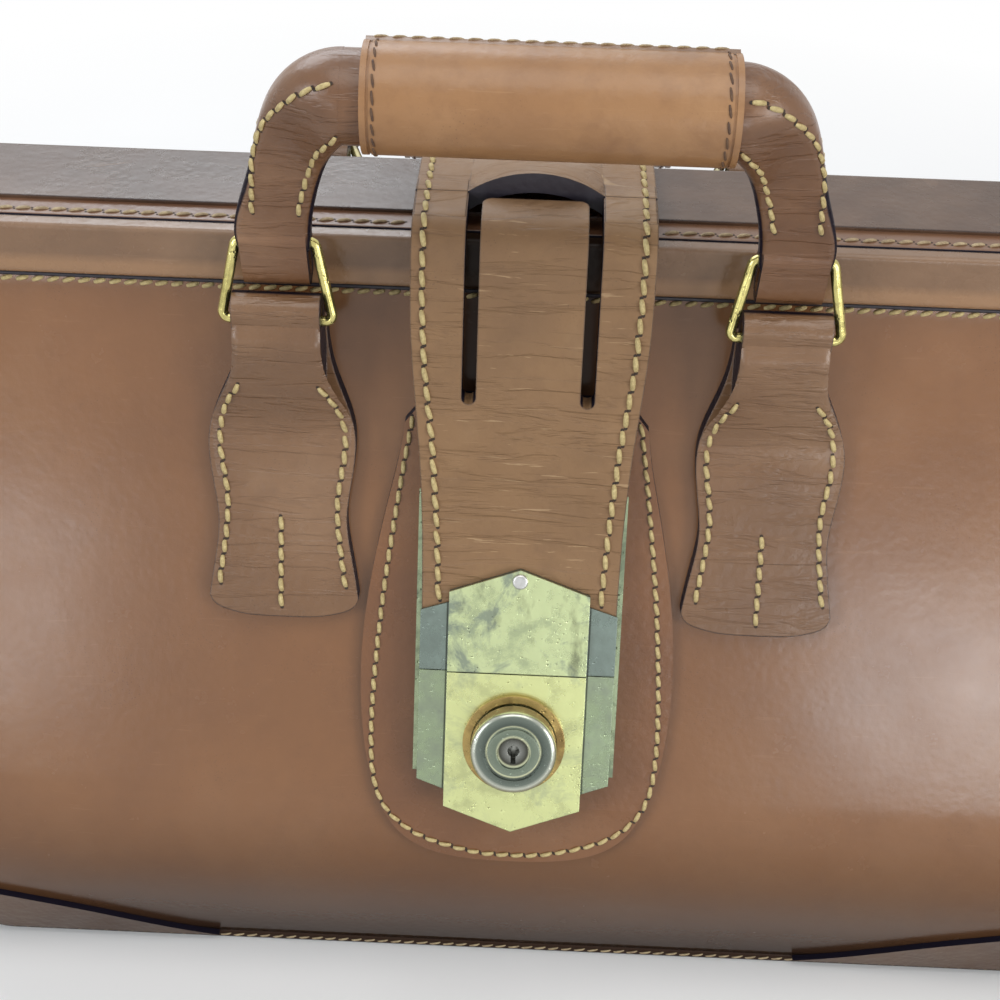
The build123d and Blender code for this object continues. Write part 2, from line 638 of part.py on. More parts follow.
def strap_parts():
    """The strap in two lengths that part at the cross cut, the rear one with its tail."""
    points = strap_line()
    front = side_strip(points, STRAP_FRONT_BENDS, STRAP_TOP_HALF, STRAP)
    narrow_end_z = points[-1][1] - STRAP
    slot_half = SLOT_WIDTH / 2
    for sign in (-1, 1):
        top = (sign * STRAP_TOP_HALF, STRAP_NARROW_TOP_Z)
        end = (sign * STRAP_END_HALF, narrow_end_z)
        waist = Spline(
            top, (sign * STRAP_WAIST_HALF, STRAP_WAIST_Z), end, tangents=[(0, -1), (-sign * 0.02, -1)]
        )
        beside = Polyline(
            end, (sign * FAR / 2, narrow_end_z), (sign * FAR / 2, STRAP_NARROW_TOP_Z), top
        )
        front -= front_block(make_face(waist + beside), -FAR, 0)
        slot = make_face(
            Polyline(
                (-slot_half, SLOT_END_Z), (-slot_half, TALL), (slot_half, TALL), (slot_half, SLOT_END_Z)
            )
            + ThreePointArc((slot_half, SLOT_END_Z), (0, SLOT_END_Z - slot_half), (-slot_half, SLOT_END_Z))
        )
        front -= front_block(Pos(sign * SLOT_CENTRE_X, 0) * slot, -FAR, 0)
    tongue_end_y = STRAP_CUT_Y - STRAP_CUT_GAP - TONGUE_SHORT
    front -= Pos(0, tongue_end_y + 10, STRAP_CUT_Z) * Box(2 * SLOT_CENTRE_X, 20, 20)
    front -= Pos(0, STRAP_CUT_Y - STRAP_CUT_GAP + 10, STRAP_CUT_Z) * Box(FAR, 20, 20)
    upright = front.edges().filter_by(Axis.Z)
    front = fillet(upright.filter_by_position(Axis.Y, tongue_end_y - 0.1, tongue_end_y + 0.1), TONGUE_ROUND)

    over = STRAP_CUT_Z - STRAP / 2
    rail_back = COLLAR_HALF_DEPTH + RAIL_GAP + RAIL_DEPTH
    back_y = rail_back + 0.5 + STRAP / 2
    tail_y = half_depth(STRAP_TAIL_Z) + 0.4 + STRAP / 2 / math.cos(math.radians(LEAN))
    rear = side_strip(
        [(STRAP_CUT_Y - CUT_LAP, over + 0.1), (4.0, over - 0.6), (back_y, TOP_Z + 0.6 + STRAP / 2),
         (back_y, RAIL_BOTTOM_Z - 3), (tail_y, STRAP_TAIL_Z)],
        STRAP_BACK_BENDS, STRAP_TOP_HALF, STRAP,
    )
    rear -= Pos(0, STRAP_CUT_Y - 10, STRAP_CUT_Z) * Box(FAR, 20, 20)
    arch_half = SLOT_CENTRE_X + slot_half
    arch_end_y = STRAP_CUT_Y + STRAP_ARCH_LENGTH
    end_top_z = over + STRAP / 2 - 1.3
    rear -= Pos(0, (STRAP_CUT_Y + arch_end_y) / 2, STRAP_CUT_Z) * Box(
        2 * arch_half - 0.6, STRAP_ARCH_LENGTH, 40
    )
    rear += loft([
        arch_face(STRAP_CUT_Y, STRAP_CUT_Z, arch_half, STRAP_ARCH_RISE),
        arch_face(
            STRAP_CUT_Y + 0.4 * STRAP_ARCH_LENGTH, STRAP_CUT_Z - 0.2, arch_half, 0.75 * STRAP_ARCH_RISE
        ),
        arch_face(arch_end_y, end_top_z, arch_half, 0.4),
    ])
    return {"strap_front": front, "strap_back": rear}


def hasp_parts():
    """The hasp plate on the strap's end, its rivet and its staple."""
    strap_face = LOCK_PATCH + PLATE_FIT + BACKPLATE + STRAP_SEAT + STRAP + PLATE_FIT
    low = max(strap_face, LOCK_FACE_N - WING_STEP - HASP_LEAST)
    face_n = LOCK_FACE_N + HASP_RISE
    wings = lock_face(
        [(PLATE_WING_HALF, PLATE_SPLIT_V), (PLATE_WING_HALF, HASP_WING_V),
         (PLATE_CENTRE_HALF, HASP_WING_V + HASP_WING_RISE)],
        low, LOCK_FACE_N - WING_STEP + 2 * HASP_RISE,
    )
    centre = lock_face(
        [(PLATE_CENTRE_HALF, PLATE_SPLIT_V), (PLATE_CENTRE_HALF, HASP_CHEVRON_V), (0.01, HASP_TIP_V)],
        low, face_n,
    )
    plate = wings + centre
    rivet_plane = LOCK_PLANE.offset(face_n) * Pos(0, HASP_RIVET_V)
    rivet = extrude(rivet_plane * Circle(HASP_RIVET_RADIUS), HASP_RIVET_HEIGHT)
    rivet = fillet(outer_edges(rivet), 0.8 * HASP_RIVET_HEIGHT)
    post_v = (PLATE_SPLIT_V + STRAP_END_V) / 2 - 0.2
    foot = LOCK_PATCH + PLATE_FIT + BACKPLATE + 2 * STRAP_SEAT
    staple_plane = LOCK_PLANE.offset(foot)
    staple = extrude(staple_plane * Pos(0, post_v) * Rectangle(2 * STAPLE_HALF, STAPLE_WIRE), STAPLE_WIRE)
    for sign in (-1, 1):
        post = staple_plane * Pos(sign * STAPLE_HALF, post_v) * Circle(STAPLE_WIRE / 2)
        staple += extrude(post, low - foot)
    return {"hasp_plate": plate, "hasp_rivet": rivet, "hasp_staple": staple}


def chape_outline():
    """Right-hand chape: its stitched outline in x and z about its own middle."""
    neck = CHAPE_LOOP_WIDTH / 2
    sides, bottoms = [], []
    for index, side in enumerate((1, -1)):
        knots = [(side * halves[index], height) for height, halves in CHAPE_HALF_WIDTHS.items()]
        foot = knots[-1][0]
        sides.append(Spline((side * neck, CHAPE_TOP_Z), *knots, tangents=[(0, -1), (side * 0.15, -1)]))
        bottoms.append(Spline(
            knots[-1], (0.76 * foot, CHAPE_BOTTOM_Z - 0.2 * CHAPE_CUSP), (0, CHAPE_BOTTOM_Z - CHAPE_CUSP),
            tangents=[(-0.01 * foot, -1), (-foot, 0)],
        ))
    top = Line((-neck, CHAPE_TOP_Z), (neck, CHAPE_TOP_Z))
    return make_face(sides[0] + sides[1] + bottoms[0] + bottoms[1] + top)


def stadium(first, second, radius, low_x, high_x):
    """A bar of round-ended section between two (y, z) points."""
    dy, dz = second[0] - first[0], second[1] - first[1]
    length = math.hypot(dy, dz)
    middle = ((first[0] + second[0]) / 2, (first[1] + second[1]) / 2)
    plane = Plane(origin=(low_x, *middle), x_dir=(0, dy / length, dz / length), z_dir=(1, 0, 0))
    return extrude(plane * SlotCenterToCenter(length, 2 * radius), high_x - low_x)


def right_chape(bar_y, bar_z, slack):
    """The right-hand front chape: stitched down on the slope and looped round the ring."""
    skin = envelope(CHAPE_LEATHER) - envelope(SKIN_FIT)
    body = skin & front_block(Pos(RING_X, 0) * chape_outline(), -FAR, 0)
    radius = RING_WIRE / 2 + EYE_CLEARANCE
    low_x = RING_X - CHAPE_LOOP_WIDTH / 2
    high_x = RING_X + CHAPE_LOOP_WIDTH / 2
    outer = radius + CHAPE_LOOP_LEATHER
    top = (bar_y, bar_z + slack)
    foot = (bar_y + 2.0, CHAPE_LOOP_FOOT_Z)
    blend_y = -half_depth(CHAPE_BLEND_Z) - CHAPE_LEATHER
    loop = stadium(foot, top, outer, low_x, high_x) + side_block(
        [(bar_y - outer + 0.2, bar_z - 4), (blend_y, CHAPE_BLEND_Z),
         (blend_y + CHAPE_LEATHER, CHAPE_BLEND_Z),
         (foot[0] + outer - 1, foot[1]), (bar_y + outer - 1, bar_z - 4)],
        low_x, high_x,
    )
    return body + (loop - envelope(SKIN_FIT)) - stadium((bar_y, bar_z), top, radius, low_x - 1, high_x + 1)


def ring_shape():
    """A trapezium of round wire, wide bar at the origin, narrow bar above it."""
    wide = RING_WIDE_INSIDE / 2 + RING_WIRE / 2
    narrow = RING_NARROW_INSIDE / 2 + RING_WIRE / 2
    path = FilletPolyline(
        (-wide, 0, 0), (wide, 0, 0), (narrow, 0, RING_HEIGHT), (-narrow, 0, RING_HEIGHT),
        radius=RING_BEND, close=True,
    )
    return sweep(Plane(origin=path @ 0, z_dir=path % 0) * Circle(RING_WIRE / 2), path=path)


def handle_shape():
    """The handle's leather body: two legs that turn from flat to round, their loops and the core."""
    radius = RING_WIRE / 2 + EYE_CLEARANCE
    loop_thickness = 2 * (radius + LEG_LOOP_LEATHER)
    core_radius = GRIP_RADIUS - GRIP_LEATHER - GRIP_FIT
    half_core = GRIP_LENGTH / 2 + GRIP_SHIFT
    grip_low = GRIP_HEIGHT - core_radius
    inner = Spline(
        (RING_X - LEG_WIDTH / 2, 0), (half_core + 8.0, 0.6 * grip_low), (half_core + 0.5, grip_low),
        tangents=[(-0.05, 1), (-0.9, 1)],
    )
    outer = Spline(
        (RING_X + LEG_WIDTH / 2, 0), (RING_X + 2.5, 0.7 * GRIP_HEIGHT),
        (half_core, GRIP_HEIGHT + core_radius),
        tangents=[(-0.05, 1), (-1, 0.06)],
    )
    depth_at = {  # thickness at each share of the way from the ring to the grip
        0.0: loop_thickness,
        0.25: LEG_THICKNESS,
        0.5: LEG_THICKNESS + 0.4,
        0.72: core_radius,
        0.88: 1.64 * core_radius,
        1.0: 2 * core_radius,
    }
    sections = []
    for share, depth in depth_at.items():
        low = inner @ share
        high = outer @ share
        across = (high - low).normalized()
        middle = (low + high) / 2
        plane = Plane(
            origin=(middle.X, 0, middle.Y), x_dir=(across.X, 0, across.Y), z_dir=(-across.Y, 0, across.X)
        )
        width = (high - low).length
        corner = (0.25 + 0.24 * share) * min(width, depth)
        sections.append((plane * RectangleRounded(width, depth, corner)).face())
    leg = loft(sections)
    low_x = RING_X - LEG_LOOP_WIDTH / 2
    high_x = RING_X + LEG_LOOP_WIDTH / 2
    bottom = (0, -LEG_LOOP_DROP)
    leg += stadium(bottom, (0, 2.0), loop_thickness / 2, low_x, high_x)
    leg -= stadium(bottom, (0, 0), radius, low_x - 3, high_x + 3)
    core = Pos(0, 0, GRIP_HEIGHT) * Rot(0, 90, 0) * Cylinder(core_radius, 2 * half_core + 1)
    return core + leg + mirror(leg, about=Plane.YZ)


def grip_shape(shift):
    """The lighter leather sleeve rolled round the grip, grooved along its end hems."""
    tube = Cylinder(GRIP_RADIUS, GRIP_LENGTH) - Cylinder(GRIP_RADIUS - GRIP_LEATHER, GRIP_LENGTH + 2)
    for sign in (-1, 1):
        tube -= Pos(0, 0, sign * (GRIP_LENGTH / 2 - HEM_INSET)) * (
            Cylinder(GRIP_RADIUS + 1, 2 * HEM_DEPTH) - Cylinder(GRIP_RADIUS - HEM_DEPTH, 2)
        )
    return Pos(shift, 0, GRIP_HEIGHT) * Rot(0, 90, 0) * tube


def carrying_parts():
    """Chapes, rings, handles and sleeves, front and rear."""
    parts = {}
    for end, bar_y, bar_z, slack, ring_lean, handle_lean, shift in (
        ("front", FRONT_RING_Y, FRONT_RING_Z, FRONT_LOOP_SLACK, FRONT_RING_LEAN, FRONT_HANDLE_LEAN, GRIP_SHIFT),
        ("rear", REAR_RING_Y, REAR_RING_Z, REAR_LOOP_SLACK, REAR_LEAN, REAR_LEAN, 0.0),
    ):
        chape = right_chape(-abs(bar_y), bar_z, slack)
        if end == "rear":
            chape = mirror(chape, about=Plane.XZ)
        ring = Pos(RING_X, bar_y, bar_z) * Rot(ring_lean, 0, 0) * ring_shape()
        parts[f"{end}_right_chape"] = chape
        parts[f"{end}_left_chape"] = mirror(chape, about=Plane.YZ)
        parts[f"{end}_right_ring"] = ring
        parts[f"{end}_left_ring"] = mirror(ring, about=Plane.YZ)
        lean = math.radians(ring_lean)
        place = Pos(0, bar_y - RING_HEIGHT * math.sin(lean), bar_z + RING_HEIGHT * math.cos(lean)) * Rot(
            handle_lean, 0, 0
        )
        parts[f"{end}_handle"] = place * handle_shape()
        parts[f"{end}_grip_sleeve"] = place * grip_shape(shift)
    return parts


def all_parts():
    """Every sub-part by name."""
    parts = {}
    for group in (
        wall_parts, lining_parts, base_parts, corner_patches, top_frame_parts, hinge_frame_parts,
        lock_parts, knob_parts, strap_parts, hasp_parts, carrying_parts,
    ):
        parts.update(group())
    return parts


os.makedirs("parts", exist_ok=True)
for node, shape in all_parts().items():
    export_step(shape, f"parts/{node}.step")
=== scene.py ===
import math
import random

import bpy
from mathutils import Matrix, Vector
from mathutils.bvhtree import BVHTree


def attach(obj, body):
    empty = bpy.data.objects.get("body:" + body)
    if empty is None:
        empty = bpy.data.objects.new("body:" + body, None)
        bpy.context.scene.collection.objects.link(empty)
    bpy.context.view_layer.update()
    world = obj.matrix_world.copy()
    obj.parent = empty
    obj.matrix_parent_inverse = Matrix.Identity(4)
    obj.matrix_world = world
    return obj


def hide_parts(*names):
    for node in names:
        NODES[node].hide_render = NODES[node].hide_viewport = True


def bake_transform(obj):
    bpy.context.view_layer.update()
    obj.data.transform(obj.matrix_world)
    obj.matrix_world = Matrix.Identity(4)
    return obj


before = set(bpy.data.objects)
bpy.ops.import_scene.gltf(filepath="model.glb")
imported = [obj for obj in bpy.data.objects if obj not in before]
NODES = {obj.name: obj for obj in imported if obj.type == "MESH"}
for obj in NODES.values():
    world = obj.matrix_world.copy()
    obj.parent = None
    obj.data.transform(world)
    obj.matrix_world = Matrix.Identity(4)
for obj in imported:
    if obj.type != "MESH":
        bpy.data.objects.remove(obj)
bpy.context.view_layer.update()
MM = 0.001
random.seed(4)

# Materials


def put(socket, value):
    """Links a socket to another one, or gives it a value."""
    if isinstance(value, bpy.types.NodeSocket):
        socket.id_data.links.new(value, socket)
    elif socket.type == "RGBA":
        socket.default_value = (*value, 1.0)
    else:
        socket.default_value = value


def add_node(tree, kind, inputs=(), **settings):
    """A new node; inputs is a dictionary, or values in the sockets' order."""
    node = tree.nodes.new(kind)
    for key, value in settings.items():
        setattr(node, key, value)
    for key, value in inputs.items() if isinstance(inputs, dict) else enumerate(inputs):
        put(node.inputs[key], value)
    return node


def backdrop_rays(tree):
    """1 where the camera looks, straight, in a mirror or through glass, and else 0."""
    rays = add_node(tree, "ShaderNodeLightPath").outputs
    seen = rays["Is Camera Ray"]
    for kind in ("Is Glossy Ray", "Is Transmission Ray"):
        largest = add_node(tree, "ShaderNodeMath", (seen, rays[kind]), operation="MAXIMUM")
        seen = largest.outputs[0]
    return seen


class Shade:
    """Short ways to add nodes to one material."""

    def __init__(self, name):
        self.material = bpy.data.materials.new(name)
        self.material.use_nodes = True
        self.tree = self.material.node_tree
        self.tree.nodes.clear()
        self.shader = self.add("ShaderNodeBsdfPrincipled")
        self.output = self.add("ShaderNodeOutputMaterial", (self.shader.outputs[0],))
        places = self.add("ShaderNodeTexCoord").outputs
        self.space, self.normal = places["Object"], places["Normal"]

    def add(self, kind, inputs=(), **settings):
        return add_node(self.tree, kind, inputs, **settings)

    def noise(self, scale, detail=3.0, roughness=0.55, stretch=(1, 1, 1), distortion=0.0,
              offset=(0, 0, 0)):
        mapping = self.add("ShaderNodeMapping",
                           {"Vector": self.space, "Scale": stretch, "Location": offset})
        return self.add("ShaderNodeTexNoise", {
            "Vector": mapping.outputs[0], "Scale": scale, "Detail": detail,
            "Roughness": roughness, "Distortion": distortion}).outputs["Fac"]

    def cells(self, scale, feature="F1"):
        node = self.add("ShaderNodeTexVoronoi", {"Vector": self.space, "Scale": scale},
                        feature=feature)
        return node.outputs["Distance"]

    def ramp(self, value, *stops):
        """A colour ramp; each stop is a place and a colour."""
        node = self.add("ShaderNodeValToRGB", (value,))
        elements = node.color_ramp.elements
        while len(elements) < len(stops):
            elements.new(0.5)
        for element, (place, colour) in zip(elements, stops):
            element.position = place
            element.color = (*colour, 1.0)
        return node.outputs["Color"]

    def spread(self, value, low, high, to_low=0.0, to_high=1.0):
        """The range from low to high stretched to another range, and held to it."""
        return self.add("ShaderNodeMapRange", (value, low, high, to_low, to_high),
                        clamp=True).outputs["Result"]

    def math(self, operation, first, second=0.0):
        return self.add("ShaderNodeMath", (first, second), operation=operation).outputs[0]

    def times(self, first, second):
        return self.math("MULTIPLY", first, second)

    def vector(self, operation, *inputs):
        return self.add("ShaderNodeVectorMath", inputs, operation=operation).outputs

    def mix(self, share, first, second):
        return self.add("ShaderNodeMix", {"Factor": share, 6: first, 7: second},
                        data_type="RGBA").outputs[2]

    def axis(self, which):
        return self.add("ShaderNodeSeparateXYZ", (self.space,)).outputs[which]

    def along(self, direction):
        """How far out a place lies along a direction, in metres."""
        return self.vector("DOT_PRODUCT", self.space, direction)["Value"]

    def from_axis(self, centre, direction):
        """Distance from a line through a place, in metres."""
        offset = self.vector("SUBTRACT", self.space, centre)["Vector"]
        across = self.vector("CROSS_PRODUCT", offset, direction)["Vector"]
        return self.vector("LENGTH", across)["Value"]

    def facing(self, direction):
        """How far the surface faces a direction, fixed on the object."""
        return self.vector("DOT_PRODUCT", self.normal, direction)["Value"]

    def rounded(self, radius):
        """The normal as if the edges were rounded, and how near an edge the place is."""
        bevel = self.add("ShaderNodeBevel", {"Radius": radius}, samples=5).outputs[0]
        flat = self.add("ShaderNodeNewGeometry").outputs["Normal"]
        flatness = self.vector("DOT_PRODUCT", bevel, flat)["Value"]
        return bevel, self.spread(flatness, 0.86, 0.985, 1.0, 0.0)

    def bumps(self, *heights, normal=None):
        """Bumps one on the other; each is a height and its reach in metres."""
        for height, distance in heights:
            inputs = {"Height": height, "Distance": distance, "Strength": 1.0}
            if normal is not None:
                inputs["Normal"] = normal
            normal = self.add("ShaderNodeBump", inputs).outputs[0]
        put(self.shader.inputs["Normal"], normal)

    def finish(self, colour, roughness, metallic=0.0, coat=0.0, coat_roughness=0.1, specular=0.5):
        for key, value in {"Base Color": colour, "Roughness": roughness, "Metallic": metallic,
                           "Coat Weight": coat, "Coat Roughness": coat_roughness,
                           "Specular IOR Level": specular}.items():
            put(self.shader.inputs[key], value)
        return self.material


LEAN = math.radians(21.8)  # of the front face above the belly, out of upright
SLOPE_NORMAL = (0.0, -math.cos(LEAN), math.sin(LEAN))
EDGE_DYE = (0.012, 0.010, 0.018)
# colours of painted shade: towards the bottom of the body, and behind the strap
LOW_SHADE = (0.022, 0.012, 0.008)
STRAP_SHADE = (0.018, 0.012, 0.010)

# Where the masks on the leather fade, in metres
LOW_SHADE_Z = (0.006, 0.078)
STRAP_SHADE_X = (0.0190, 0.0245)
STRAP_SHADE_Z = (0.188, 0.196)
STRAP_SHADE_Y = (-0.020, -0.012)
LIP_FADE = 0.0015
REACH_FADE = (-0.004, 0.003)


def leather(name, light, dark, worn, gloss, edge_axis=None, edge_cut=0.5, side_axis=None,
            side_reach=None, creases=0.0, rounding=0.0, blotch=0.25, scratches=0.3, low_dark=0.0,
            coat=0.2, contrast=1.0, grain=1.0, under_strap=False, lip_highlight=None):
    """Waxed hide: soft cloudy colour, pores, fine wrinkles, scratches and dyed edges.

    edge_axis dyes what faces away from a direction, and side_axis what faces along one, as far
    as side_reach goes. lip_highlight is a height and the colour of a painted highlight below it.
    low_dark paints shade towards the bottom, under_strap paints shade on the leather behind the
    strap, and creases are painted darker in their hollows, as shade.
    """
    s = Shade(name)
    clouds = s.noise(11, 4, 0.6)
    fine = s.noise(90, 4, 0.65)
    half_range = 0.28 / contrast
    cloudy = s.spread(clouds, 0.52 - half_range, 0.52 + half_range)
    colour = s.ramp(cloudy, (0.0, dark), (0.5, light), (1.0, worn))
    colour = s.mix(s.spread(fine, 0.45, 0.75, 0.0, blotch), colour, dark)
    specks = s.spread(s.cells(900), 0.0, 0.22, 1.0, 0.0)
    gate = s.spread(s.noise(40, 2), 0.5, 0.7)
    colour = s.mix(s.times(s.times(specks, gate), 0.55), colour, EDGE_DYE)
    scratch = s.spread(s.noise(60, 3, 0.6, (1, 1, 14), 0.6), 0.655, 0.70, 0.0, scratches)
    colour = s.mix(scratch, colour, worn)
    rough = s.spread(s.noise(30, 5, 0.7), 0.3, 0.75, gloss * 0.75, gloss * 1.5)
    heights = [(s.cells(420, feature="SMOOTH_F1"), 0.00012 * grain),
               (s.noise(1100, 3), 0.00006 * grain), (s.noise(24, 3), 0.0005 * grain)]
    if creases:
        wave = s.noise(75, 4, 0.60, (0.30, 1.0, 2.4), 0.5)
        heights.append((s.spread(wave, 0.46, 0.54), creases))
        # painted shade: the leather is darker in the creases' hollows
        off_crease = s.spread(s.math("ABSOLUTE", s.math("SUBTRACT", wave, 0.5)), 0.0, 0.016)
        in_crease = s.math("SUBTRACT", 1.0, off_crease)
        colour = s.mix(s.times(in_crease, 0.22), colour, dark)
    normal = None
    dull = []  # masks of dyed edges and of painted shade, which shine less
    if rounding:
        normal, near_edge = s.rounded(rounding)
        colour = s.mix(s.times(near_edge, 0.7), colour, EDGE_DYE)
    # painted shade: darker towards the bottom
    if low_dark:
        shade = s.spread(s.axis(2), *LOW_SHADE_Z, low_dark, 0.0)
        colour = s.mix(shade, colour, LOW_SHADE)
        dull.append(shade)
    # painted highlight: lighter below a height
    if lip_highlight:
        below, tone = lip_highlight
        share = s.spread(s.axis(2), below - LIP_FADE, below + LIP_FADE, 0.55, 0.0)
        colour = s.mix(share, colour, tone)
    # painted shade on the leather behind the strap
    if under_strap:
        across = s.spread(s.math("ABSOLUTE", s.axis(0)), *STRAP_SHADE_X, 0.80, 0.0)
        high = s.spread(s.axis(2), *STRAP_SHADE_Z)
        front = s.spread(s.axis(1), *STRAP_SHADE_Y, 1.0, 0.0)
        covered = s.times(s.times(across, high), front)
        colour = s.mix(covered, colour, STRAP_SHADE)
        dull.append(covered)
    if edge_axis is not None:
        face = s.math("ABSOLUTE", s.facing(edge_axis))
        edge = s.spread(face, edge_cut - 0.08, edge_cut + 0.08, 1.0, 0.0)
        colour = s.mix(edge, colour, EDGE_DYE)
        dull.append(edge)
    if side_axis is not None:
        side = s.spread(s.math("ABSOLUTE", s.facing(side_axis)), 0.5, 0.68)
        if side_reach:
            way, end = side_reach
            near, far = REACH_FADE
            within = s.spread(s.along(way), end + near, end + far, 1.0, 0.0)
            side = s.times(side, within)
        colour = s.mix(side, colour, EDGE_DYE)
        dull.append(side)
    s.bumps(*heights, normal=normal)
    specular = 0.4
    for mask in dull:
        shine = s.math("SUBTRACT", 1.0, s.times(mask, 0.85))
        specular, coat = s.times(shine, specular), s.times(shine, coat)
    return s.finish(colour, rough, coat=coat, coat_roughness=gloss * 0.7, specular=specular)


CENTRE_PLATE_OUT = 0.11804  # where the lock's raised centre plates begin along SLOPE_NORMAL
CENTRE_PLATE_STEP = 0.0002
GROOVE_X = 0.0216  # the line beside the centre plates
GROOVE_FADE = (0.0001, 0.0004)
PIT_DIRT = (0.03, 0.025, 0.015)
STREAK_DIRT = (0.06, 0.055, 0.035)
GROOVE_DIRT = (0.02, 0.02, 0.012)

# the light band at 12.2 mm is a painted highlight on the knob's rim; the other bands are its own
# rings
KNOB_RINGS = (  # distance from the knob's axis in mm, and the colour from there out
    (0.0, (0.40, 0.41, 0.38)), (4.3, (0.05, 0.05, 0.04)), (4.9, (0.52, 0.54, 0.36)),
    (5.5, (0.17, 0.21, 0.16)), (7.8, (0.22, 0.26, 0.20)), (8.1, (0.62, 0.64, 0.42)),
    (8.7, (0.08, 0.10, 0.085)), (11.2, (0.17, 0.20, 0.17)), (12.2, (0.52, 0.54, 0.46)),
    (13.1, (0.30, 0.28, 0.18)))
RING_REACH = 14.0


def brass(name, light, dark, tarnish, rough=0.28, rounding=0.0004, patches=0.6, wings=None,
          rings_about=None, streaks=0.0):
    """Old brass: bright where it is rubbed, grey and pitted where it isn't.

    wings is the colour of the low parts beside the lock's centre plates, and rings_about a
    place on the axis of the knob's rings, whose light band near the rim is a painted highlight.
    """
    s = Shade(name)
    clouds = s.noise(120, 5, 0.65)
    colour = s.ramp(s.spread(clouds, 0.35, 0.68), (0.0, dark), (0.45, light), (1.0, light))
    spots = s.spread(s.noise(60, 6, 0.72, distortion=0.6), 0.50, 0.62, 0.0, patches)
    colour = s.mix(spots, colour, tarnish)
    pits = s.spread(s.cells(700), 0.0, 0.3, 1.0, 0.0)
    gate = s.spread(s.noise(220, 2), 0.52, 0.6)
    pitting = s.times(pits, gate)
    colour = s.mix(s.times(pitting, 0.7), colour, PIT_DIRT)
    if streaks:
        rubbed = s.spread(s.noise(160, 4, 0.6, (1, 1, 0.12)), 0.52, 0.66, 0.0, streaks)
        gate = s.spread(s.noise(45, 3, offset=(0.4, 0, 0)), 0.42, 0.6)
        colour = s.mix(s.times(rubbed, gate), colour, STREAK_DIRT)
    if rings_about:
        radius = s.from_axis(rings_about, SLOPE_NORMAL)
        share = s.math("DIVIDE", radius, RING_REACH * MM)
        # the rings' colours, with a painted highlight in the light band near the rim
        rings_and_highlight = s.ramp(share, *((distance / RING_REACH, tone) for distance, tone in KNOB_RINGS))
        colour = s.mix(s.times(spots, 0.5), rings_and_highlight, tarnish)
    if wings:
        out = s.along(SLOPE_NORMAL)
        low = s.spread(out, CENTRE_PLATE_OUT - CENTRE_PLATE_STEP, CENTRE_PLATE_OUT, 1.0, 0.0)
        colour = s.mix(low, colour, s.mix(s.spread(clouds, 0.35, 0.7), wings, tarnish))
        beside = s.math("SUBTRACT", s.math("ABSOLUTE", s.axis(0)), GROOVE_X)
        line = s.spread(s.math("ABSOLUTE", beside), *GROOVE_FADE, 0.8, 0.0)
        colour = s.mix(s.times(line, low), colour, GROOVE_DIRT)
    normal = None
    if rounding:
        normal, near_edge = s.rounded(rounding)
        colour = s.mix(s.times(near_edge, 0.35), colour, tarnish)
    cloudy = s.spread(clouds, 0.3, 0.8, rough * 0.8, rough * 1.3)
    roughness = s.math("ADD", cloudy, s.times(spots, 0.25))
    s.bumps((s.times(pitting, -1.0), 0.0002), (s.noise(500, 4), 0.00005),
            (s.noise(60, 3), 0.0003), normal=normal)
    return s.finish(colour, roughness, metallic=0.9)


def plain(name, colour, dark, rough, scale, bump):
    """Thread, cloth or board: two tones and a fine bump."""
    s = Shade(name)
    tone = s.noise(scale, 4)
    s.bumps((tone, bump), (s.cells(scale * 3), bump * 0.5))
    return s.finish(s.mix(s.spread(tone, 0.35, 0.7), colour, dark), rough)


# below this height the rail's lower lip gets a painted highlight
LIP_Z = 0.2405
# The way up each handle's legs and where the grip begins along it, in metres
LEG_REACH = {"front": ((0.0, -0.2622, 0.9650), 0.2894), "rear": ((0.0, 0.9781, -0.2079), 0.0455)}
# painted shade towards the bottom and behind the strap
BODY = leather("body_leather", (0.222, 0.098, 0.038), (0.150, 0.064, 0.027), (0.280, 0.142, 0.066),
               gloss=0.21, low_dark=0.95, coat=0.35, contrast=0.7, grain=0.35, under_strap=True)
# painted shade behind the strap, and a painted highlight on the rail's lower lip
RAIL = leather("rail_leather", (0.230, 0.132, 0.074), (0.140, 0.082, 0.050), (0.33, 0.205, 0.125),
               gloss=0.24, rounding=0.0012, coat=0.15, under_strap=True,
               lip_highlight=(LIP_Z, (0.42, 0.235, 0.12)))
TOP = leather("top_leather", (0.082, 0.041, 0.022), (0.045, 0.025, 0.016), (0.20, 0.120, 0.075),
              gloss=0.27, rounding=0.0010, coat=0.1, grain=0.6)
FLANGE = leather("flange_leather", (0.175, 0.082, 0.042), (0.095, 0.046, 0.028),
                 (0.28, 0.165, 0.10), gloss=0.3, side_axis=(0.0, 1.0, 0.0))
CHAPE = leather("chape_leather", (0.192, 0.100, 0.048), (0.118, 0.060, 0.032), (0.31, 0.185, 0.105),
                gloss=0.30, edge_axis=SLOPE_NORMAL, edge_cut=0.42, creases=0.00022, rounding=0.0008)
PATCH = leather("patch_leather", (0.202, 0.088, 0.036), (0.125, 0.055, 0.027), (0.29, 0.150, 0.075),
                gloss=0.27, edge_axis=SLOPE_NORMAL)
